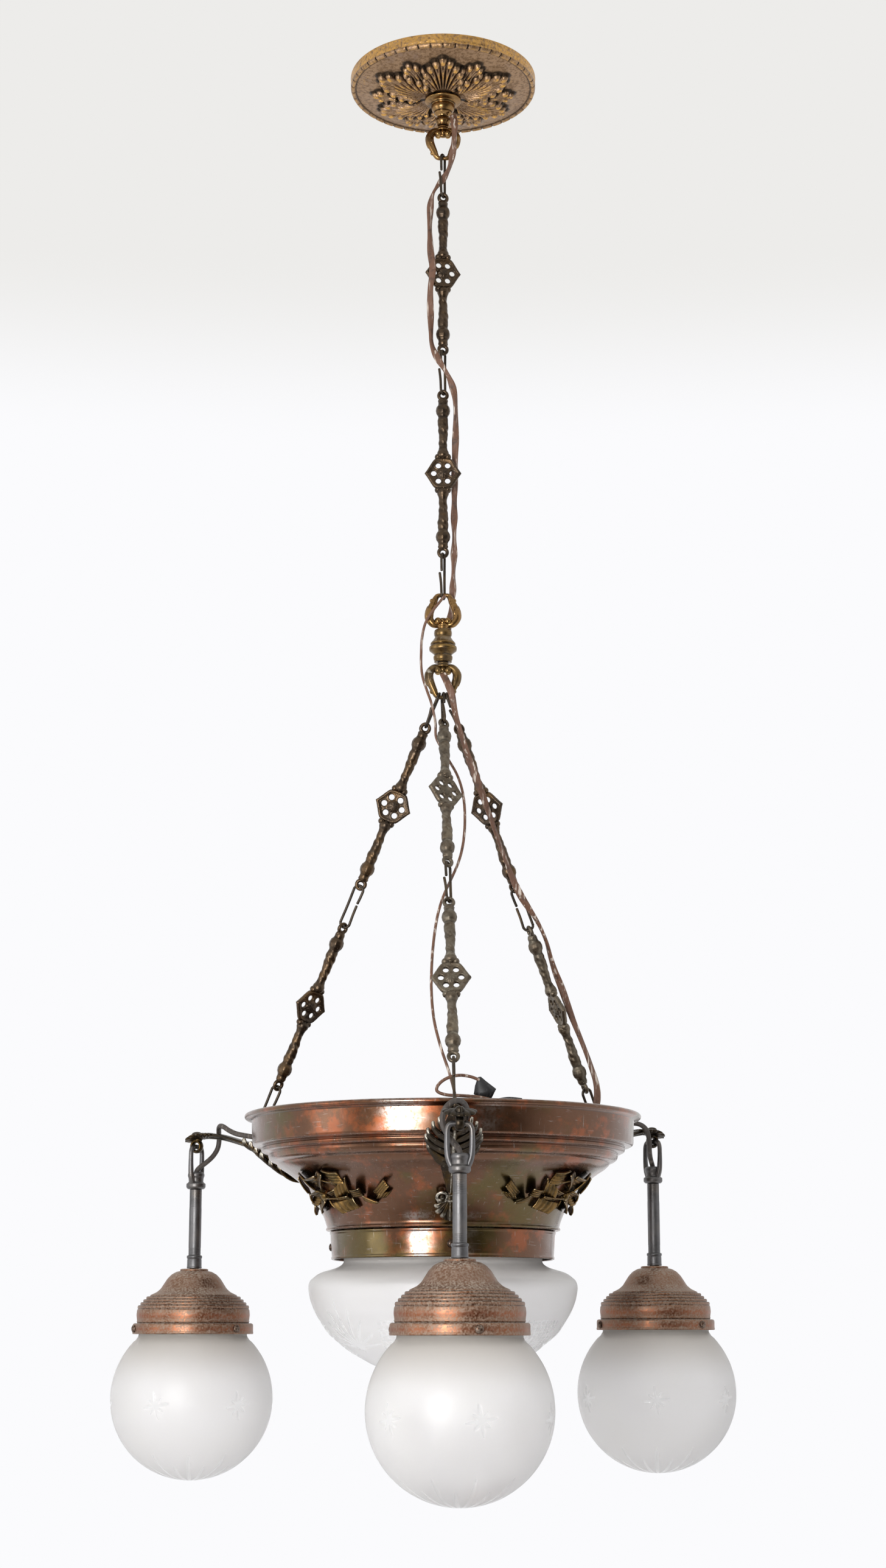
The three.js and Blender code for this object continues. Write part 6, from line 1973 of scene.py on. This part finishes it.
class Pendants:
    """The three pendants: yoke, tube, fitter, lamp holder and globe."""

    SOCKET_FOOT = -61.0
    LOCK_RING = 2.8
    SLEEVE = 8.5
    GLOBE_RIM = -55.8
    GLOBE_RADIUS = 70.0
    GLOBE_MIDDLE = -54.3
    SCREWS = (52.1, 48.4, -51.3)

    def __init__(self) -> None:
        """Makes the meshes that the pendants share."""
        self.yoke = self._yoke()
        self.fitter = self._fitter()
        self.holder = self._holder()
        self.globe = self._globe()

    def build(self) -> None:
        """Puts each pendant under its arm."""
        for arm in ARMS:
            body = f"pendant_{arm.name}"
            place = arm.frame(PENDANT_RADIUS)
            put(f"pendant_yoke_{arm.name}", self.yoke, Finish.TUBE, body, [f"yoke_{arm.name}"], place)
            put(f"pendant_tube_{arm.name}", self._tube(arm), Finish.TUBE, body, [f"tube_{arm.name}"], place)
            top = self.SOCKET_FOOT - arm.tube - self.LOCK_RING - self.SLEEVE - 2 * SEAM
            spun = place @ lifted(top, arm.screws + 90)
            fitter = Finish.FITTER_COPPER
            put(f"copper_fitter_{arm.name}", self.fitter, fitter, body, [f"fitter_{arm.name}"], spun)
            under = place @ lifted(top)
            put(f"lamp_holder_{arm.name}", self.holder, Finish.GOLD, body, [f"lampholder_{arm.name}"], under)
            glass = place @ lifted(top + self.GLOBE_RIM, arm.stars + 90)
            put(f"cut_globe_{arm.name}", self.globe, Finish.GLASS, body, [f"globe_{arm.name}"], glass)

    @staticmethod
    def _yoke() -> Mesh:
        """The yoke: a bent bar with its socket and collar. The tube's axis is the Z axis."""
        form = Form()
        half = [(6, -56), (8.4, -50), (9.4, -43), (9.6, -35), (9.3, -28.4), (7.4, -24.8), (3, -24.05)]
        path = through([(0, -y, z) for y, z in half] + [(0, y, z) for y, z in reversed(half)], 6)
        run = np.abs(np.linspace(-1, 1, len(path)))
        form.tube(path, 2.0 + 0.5 * ease(0.45, 0.9, run), 12, relief=0.6)
        corners = [
            (3.7, -46.4), (5.6, -46.1), (7.2, -47.4), (7.4, -49.4), (6.6, -51.6), (6.4, -54.6),
            (7.2, -55.6), (8.4, -56.2), (8.5, -58.8), (8.2, -59.8), (7, -61), (3.7, -61),
        ]
        profile = rounded(corners, 0.7, 1.2, closed=True)
        form.turned(profile, 40, relief=0.5 - 0.35 * bell(profile[:, 1], -55.2, 0.9), closed=True)
        return form.mesh("pendant_yoke")

    def _tube(self, arm: ArmPlace) -> Mesh:
        """A pendant's tube with its threads, lock ring and sleeve."""
        top = self.SOCKET_FOOT - SEAM
        ring = top - arm.tube
        fine = np.linspace(top, ring, 150)
        threaded = ease(top - 17, top - 15.5, fine) + ease(ring + 7.5, ring + 6, fine)
        pitch = 1.25
        radius = 5.4 - 0.14 * threaded * (0.5 + 0.5 * np.cos(fine * 2 * math.pi / pitch)) * 1.4
        tube = list(zip(radius, fine))
        lower = [
            (5.6, 0), (6.5, -0.3), (6.75, -1), (6.75, -1.9), (6.4, -2.7), (6.1, -3.1), (6.3, -4),
            (6.35, -9.6), (6.6, -10.4), (6.5, -11.2), (3.9, -11.3), (3.9, -20.3), (2.3, -20.3),
        ]
        upper = [(2.3, top + 4.8), (3.1, top + 4.8), (3.1, top)]
        profile = np.vstack([upper, tube, rounded(lower, 0.4, 1.2) + (0, ring)])
        relief = 0.5 - 0.25 * np.interp(profile[:, 0], [5.2, 5.35], [1, 0]) * (profile[:, 0] > 5.1)
        return Form().turned(profile, 40, relief=relief, closed=True).mesh(f"pendant_tube_{arm.name}")

    @staticmethod
    def _fitter() -> Mesh:
        """The spun copper fitter with its three screws, from its top at z = 0."""
        corners = [
            (4.2, 0), (11.4, -0.1), (12.4, -0.9), (12, -1.9), (15.4, -2.6), (19.6, -4.9), (23.2, -8.6),
            (25.8, -12.6), (28.6, -17), (32, -20), (36, -21.9), (37.6, -22.6), (37.9, -23.9), (40.6, -23.8),
            (41.2, -25.1), (40.8, -26.3), (43.2, -26.2), (43.8, -27.6), (43.4, -28.8), (45.6, -28.7),
            (46.2, -30.2), (45.8, -31.4), (47.9, -31.3), (48.5, -33), (48, -34.3), (48.8, -35.4),
            (49.2, -39.6), (48.6, -44.4), (48.9, -45.4), (48.2, -46.7), (50.6, -46.6), (51.9, -47.2),
            (52.2, -48.6), (52.2, -53.6), (52.5, -54.6), (52.2, -55.8), (51, -55.8), (51, -48.2),
            (47.3, -47), (47.2, -35.4), (37.8, -27.6), (24, -13), (16, -3.4), (4.2, -1.2),
        ]
        profile = rounded(corners, 1.0, 1.5, closed=True)
        radius, height = profile.T
        relief = 0.5 + 0.42 * bell(height, -40.5, 4.2) * (radius > 48)
        relief = relief + 0.42 * bell(height, -51.6, 3.0) * (radius > 51.5)
        for edge in (-23.9, -26.3, -28.8, -31.4, -34.3, -46.5):
            relief = relief + banded(height, 0, (-0.5, edge, 0.55), (0.12, edge + 1.4, 0.5)) * (radius > 37)
        form = Form().turned(profile, 160, relief=np.clip(relief, 0, 1), closed=True)
        head, tip, level = Pendants.SCREWS
        for turn in (0, 120, 240):
            form.add(round_screw(head, tip), lifted(level, turn))
        return form.mesh("copper_fitter")

    @staticmethod
    def _holder() -> Mesh:
        """The lamp holder on the tube's nipple, with the fitter's neck at z = 0."""
        top = -2.6
        corners = [
            (4.5, 0), (7.9, 0), (7.9, -5), (14, -10), (14, -22), (15.4, -23), (15.4, -28), (13, -29),
            (13, -38), (0, -38), (0, -9), (4.5, -9),
        ]
        return Form().turned(rounded(corners, 0.6, 2.0) + (0, top), 40).mesh("lamp_holder")

    def _globe(self) -> Mesh:
        """A frosted globe with six cut stars round it and a large one underneath, from its rim at z = 0."""
        middle, wide_radius, low_radius = self.GLOBE_MIDDLE, self.GLOBE_RADIUS, 68.6
        inside_radius, inside_height = 67, 66
        neck = rounded([(49.4, 7.3), (49.4, 6.1), (47, 5.6), (47, -1.6), (49.2, -5)], 0.8, 1.5)
        angles = np.radians(np.linspace(43, -90, 210))
        high = np.where(angles > 0, wide_radius, low_radius)
        ball = np.stack([wide_radius * np.cos(angles), middle + high * np.sin(angles)], -1)
        angles = np.radians(np.linspace(-90, 43, 40))
        inner = np.stack([inside_radius * np.cos(angles), middle + inside_height * np.sin(angles)], -1)
        poles = [(0, middle - low_radius), (0, middle - inside_height)]
        profile = np.vstack([neck, ball, poles, inner, [(44, -1.6), (44, 7.3)]])
        profile[:, 0] = np.maximum(profile[:, 0], 0)
        outside = np.arange(len(profile)) < len(neck) + len(ball)

        def ray_depth(share: Array, off: Array, wide: Array) -> Array:
            """How deep one ray is cut, from the share along it, the distance beside it and its width."""
            return (share > -0.05) * (share < 1) * np.clip(1.15 - off / (wide + 0.01), 0, 1)

        def cuts(radius: Array, height: Array, angle: Array) -> Pair:
            """Depth and relief of the stars' rays."""
            level = np.degrees(np.arctan2(height - middle, np.maximum(radius, 1e-3)))
            deep = np.zeros_like(radius)
            up = np.radians(level + 4) * wide_radius
            for star in range(0, 360, 60):
                side = np.radians(astray(np.degrees(angle) - star, 360)) * radius
                for ray in range(8):
                    lean = math.radians(45 * ray + 9)
                    share = (side * math.cos(lean) + up * math.sin(lean)) / (12.4, 8.6)[ray % 2]
                    off = np.abs(up * math.cos(lean) - side * math.sin(lean))
                    wide = 1.7 * np.sqrt(np.clip((share + 0.12) * (1 - share) * 3.2, 0, 1))
                    deep = np.maximum(deep, ray_depth(share, off, wide))
            polar = np.radians(level + 90) * 69
            for ray in range(20):
                off = np.abs(astray(angle - math.radians(18 * ray), 2 * math.pi)) * np.maximum(radius, 1)
                share = (polar - 3) / (56.0, 42.0)[ray % 2]
                wide = 2.3 * np.sqrt(np.clip(share * (1 - share) * 4, 0, 1))
                deep = np.maximum(deep, (share > 0) * ray_depth(share, off, wide))
            deep = np.clip(deep, 0, 1) * outside[:, None]
            return -0.6 * deep * np.cos(np.radians(np.clip(level, -80, 80))), 0.5 - 0.5 * deep

        return Form().turned(profile, 600, cuts).mesh("cut_globe")


# Joints of the wiring on the rim


class WiringJoints:
    """The taped joints and the bare wire loop that lie on the rim at the front."""

    def build(self) -> None:
        """Makes the two joints and the loop."""
        tape = Form()
        bent = np.array([
            (29, -141, 20.5), (29.8, -140.6, 15.6), (33.4, -140, 9.8), (31.5, -139.6, 5.8), (32, -139, 3.2),
        ])
        tape.tube(bent, (1.4, 4.8, 9.0, 7.4, 1.6), 6, flat=0.45, across=(1, 0, 0), relief=0.4)
        second = through([(43, -147, 2), (52, -148, 3.2), (62, -147, 2.4)], 6)
        tape.tube(second, 1.9, 8, flat=0.6, relief=0.4)
        put("tape_joints", tape.mesh("tape_joints"), Finish.TAPE, "suspended", (), lifted(RIM))
        bends = [
            (36, -148, 2.6), (26, -148.6, 4.4), (14, -149, 5.2), (3, -148.6, 5.8), (-4.2, -147.6, 8.4),
            (-4.6, -146.6, 12.4), (-0.6, -145.8, 17), (6, -145, 20.4), (14, -143.6, 21.8), (22, -142, 20.8),
            (28.6, -141, 18.4),
        ]
        loop = Form().tube(through(bends, 6), 1.3, 10)
        put("joint_wire", loop.mesh("joint_wire"), Finish.FLEX, "suspended", (), lifted(RIM))


# Stage


@dataclass
class Studio:
    """The camera, the lamps and the world. The camera stands in metres, tilted up by degrees."""

    lens: float = 57.88
    distance: float = 2.1466
    below: float = 1.139
    tilt: float = 12.336

    def build_camera(self) -> None:
        """Makes the camera at the photograph's place."""
        data = bpy.data.cameras.new("camera")
        data.lens = self.lens
        data.sensor_width = 36.0
        data.clip_start = 0.02
        camera = bpy.data.objects.new("camera", data)
        camera.location = (0, -self.distance, -self.below)
        camera.rotation_euler = (math.radians(90 + self.tilt), 0, 0)
        bpy.context.scene.collection.objects.link(camera)
        bpy.context.scene.camera = camera

    def build(self) -> None:
        """Makes the lamps and the world."""
        bpy.context.scene.view_settings.view_transform = "Standard"
        self._lamp("key_lamp", (-0.86, -2.2, -1.04), (0, 0, -1.0), (0.8, 1.1), 42.0)
        self._lamp("side_lamp", (-2.3, -0.9, -0.8), (0, 0, -0.9), (0.9, 1.3), 8.0)
        self._world()

    @staticmethod
    def _lamp(
        name: str, place: Sequence[float], aim: Sequence[float], size: Sequence[float], power: float
    ) -> None:
        """Makes a soft rectangular lamp.

        Args:
            name: The lamp's name.
            place: Where it stands.
            aim: What it points at.
            size: Its width and height.
            power: Its power in watts.
        """
        data = bpy.data.lights.new(name, "AREA")
        data.shape = "RECTANGLE"
        data.size, data.size_y = size
        data.energy = power
        lamp = bpy.data.objects.new(name, data)
        lamp.location = place
        lamp.rotation_euler = (Vector(aim) - Vector(place)).to_track_quat("-Z", "Y").to_euler()
        bpy.context.scene.collection.objects.link(lamp)

    @staticmethod
    def _world() -> None:
        """A white world, a little creamier overhead. Metal also mirrors a dimmer room on the front side."""
        world = bpy.data.worlds.new("studio")
        bpy.context.scene.world = world
        world.use_nodes = True
        sheet = Sheet(world.node_tree)
        background = world.node_tree.nodes["Background"]
        rays = sheet.node("ShaderNodeLightPath")
        seen = sheet.node("ShaderNodeTexCoord").outputs["Generated"]
        where = sheet.node("ShaderNodeSeparateXYZ", {"Vector": seen})
        overhead = sheet.step(where.outputs["Z"], 0.34, 0.41)
        white = sheet.mix(overhead, srgb(251, 251, 253), srgb(237, 236, 234))
        facing = sheet.step(where.outputs["Y"], -0.25, -0.8)
        front = sheet.math("MULTIPLY", facing, rays.outputs["Is Glossy Ray"])
        front = sheet.math("MULTIPLY", front, sheet.step(where.outputs["Z"], 0.4, 0.12))
        room = sheet.mix(sheet.step(where.outputs["X"], -0.35, 0.45), srgb(156, 153, 150), srgb(104, 99, 93))
        sheet.feed(background.inputs["Color"], sheet.mix(front, white, room))


def main() -> None:
    """Builds the lamp round its frame."""
    logging.basicConfig(level=logging.INFO, format="%(name)s %(message)s")
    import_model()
    studio = Studio()
    studio.build_camera()
    Cords().build()
    castings = Castings()
    CeilingGroup().build()
    UpperChain(castings).build()
    LowerChains(castings).build()
    Body().build()
    for place in ARMS:
        Arm(place).build()
    Pendants().build()
    WiringJoints().build()
    studio.build()


if __name__ == "__main__":
    main()
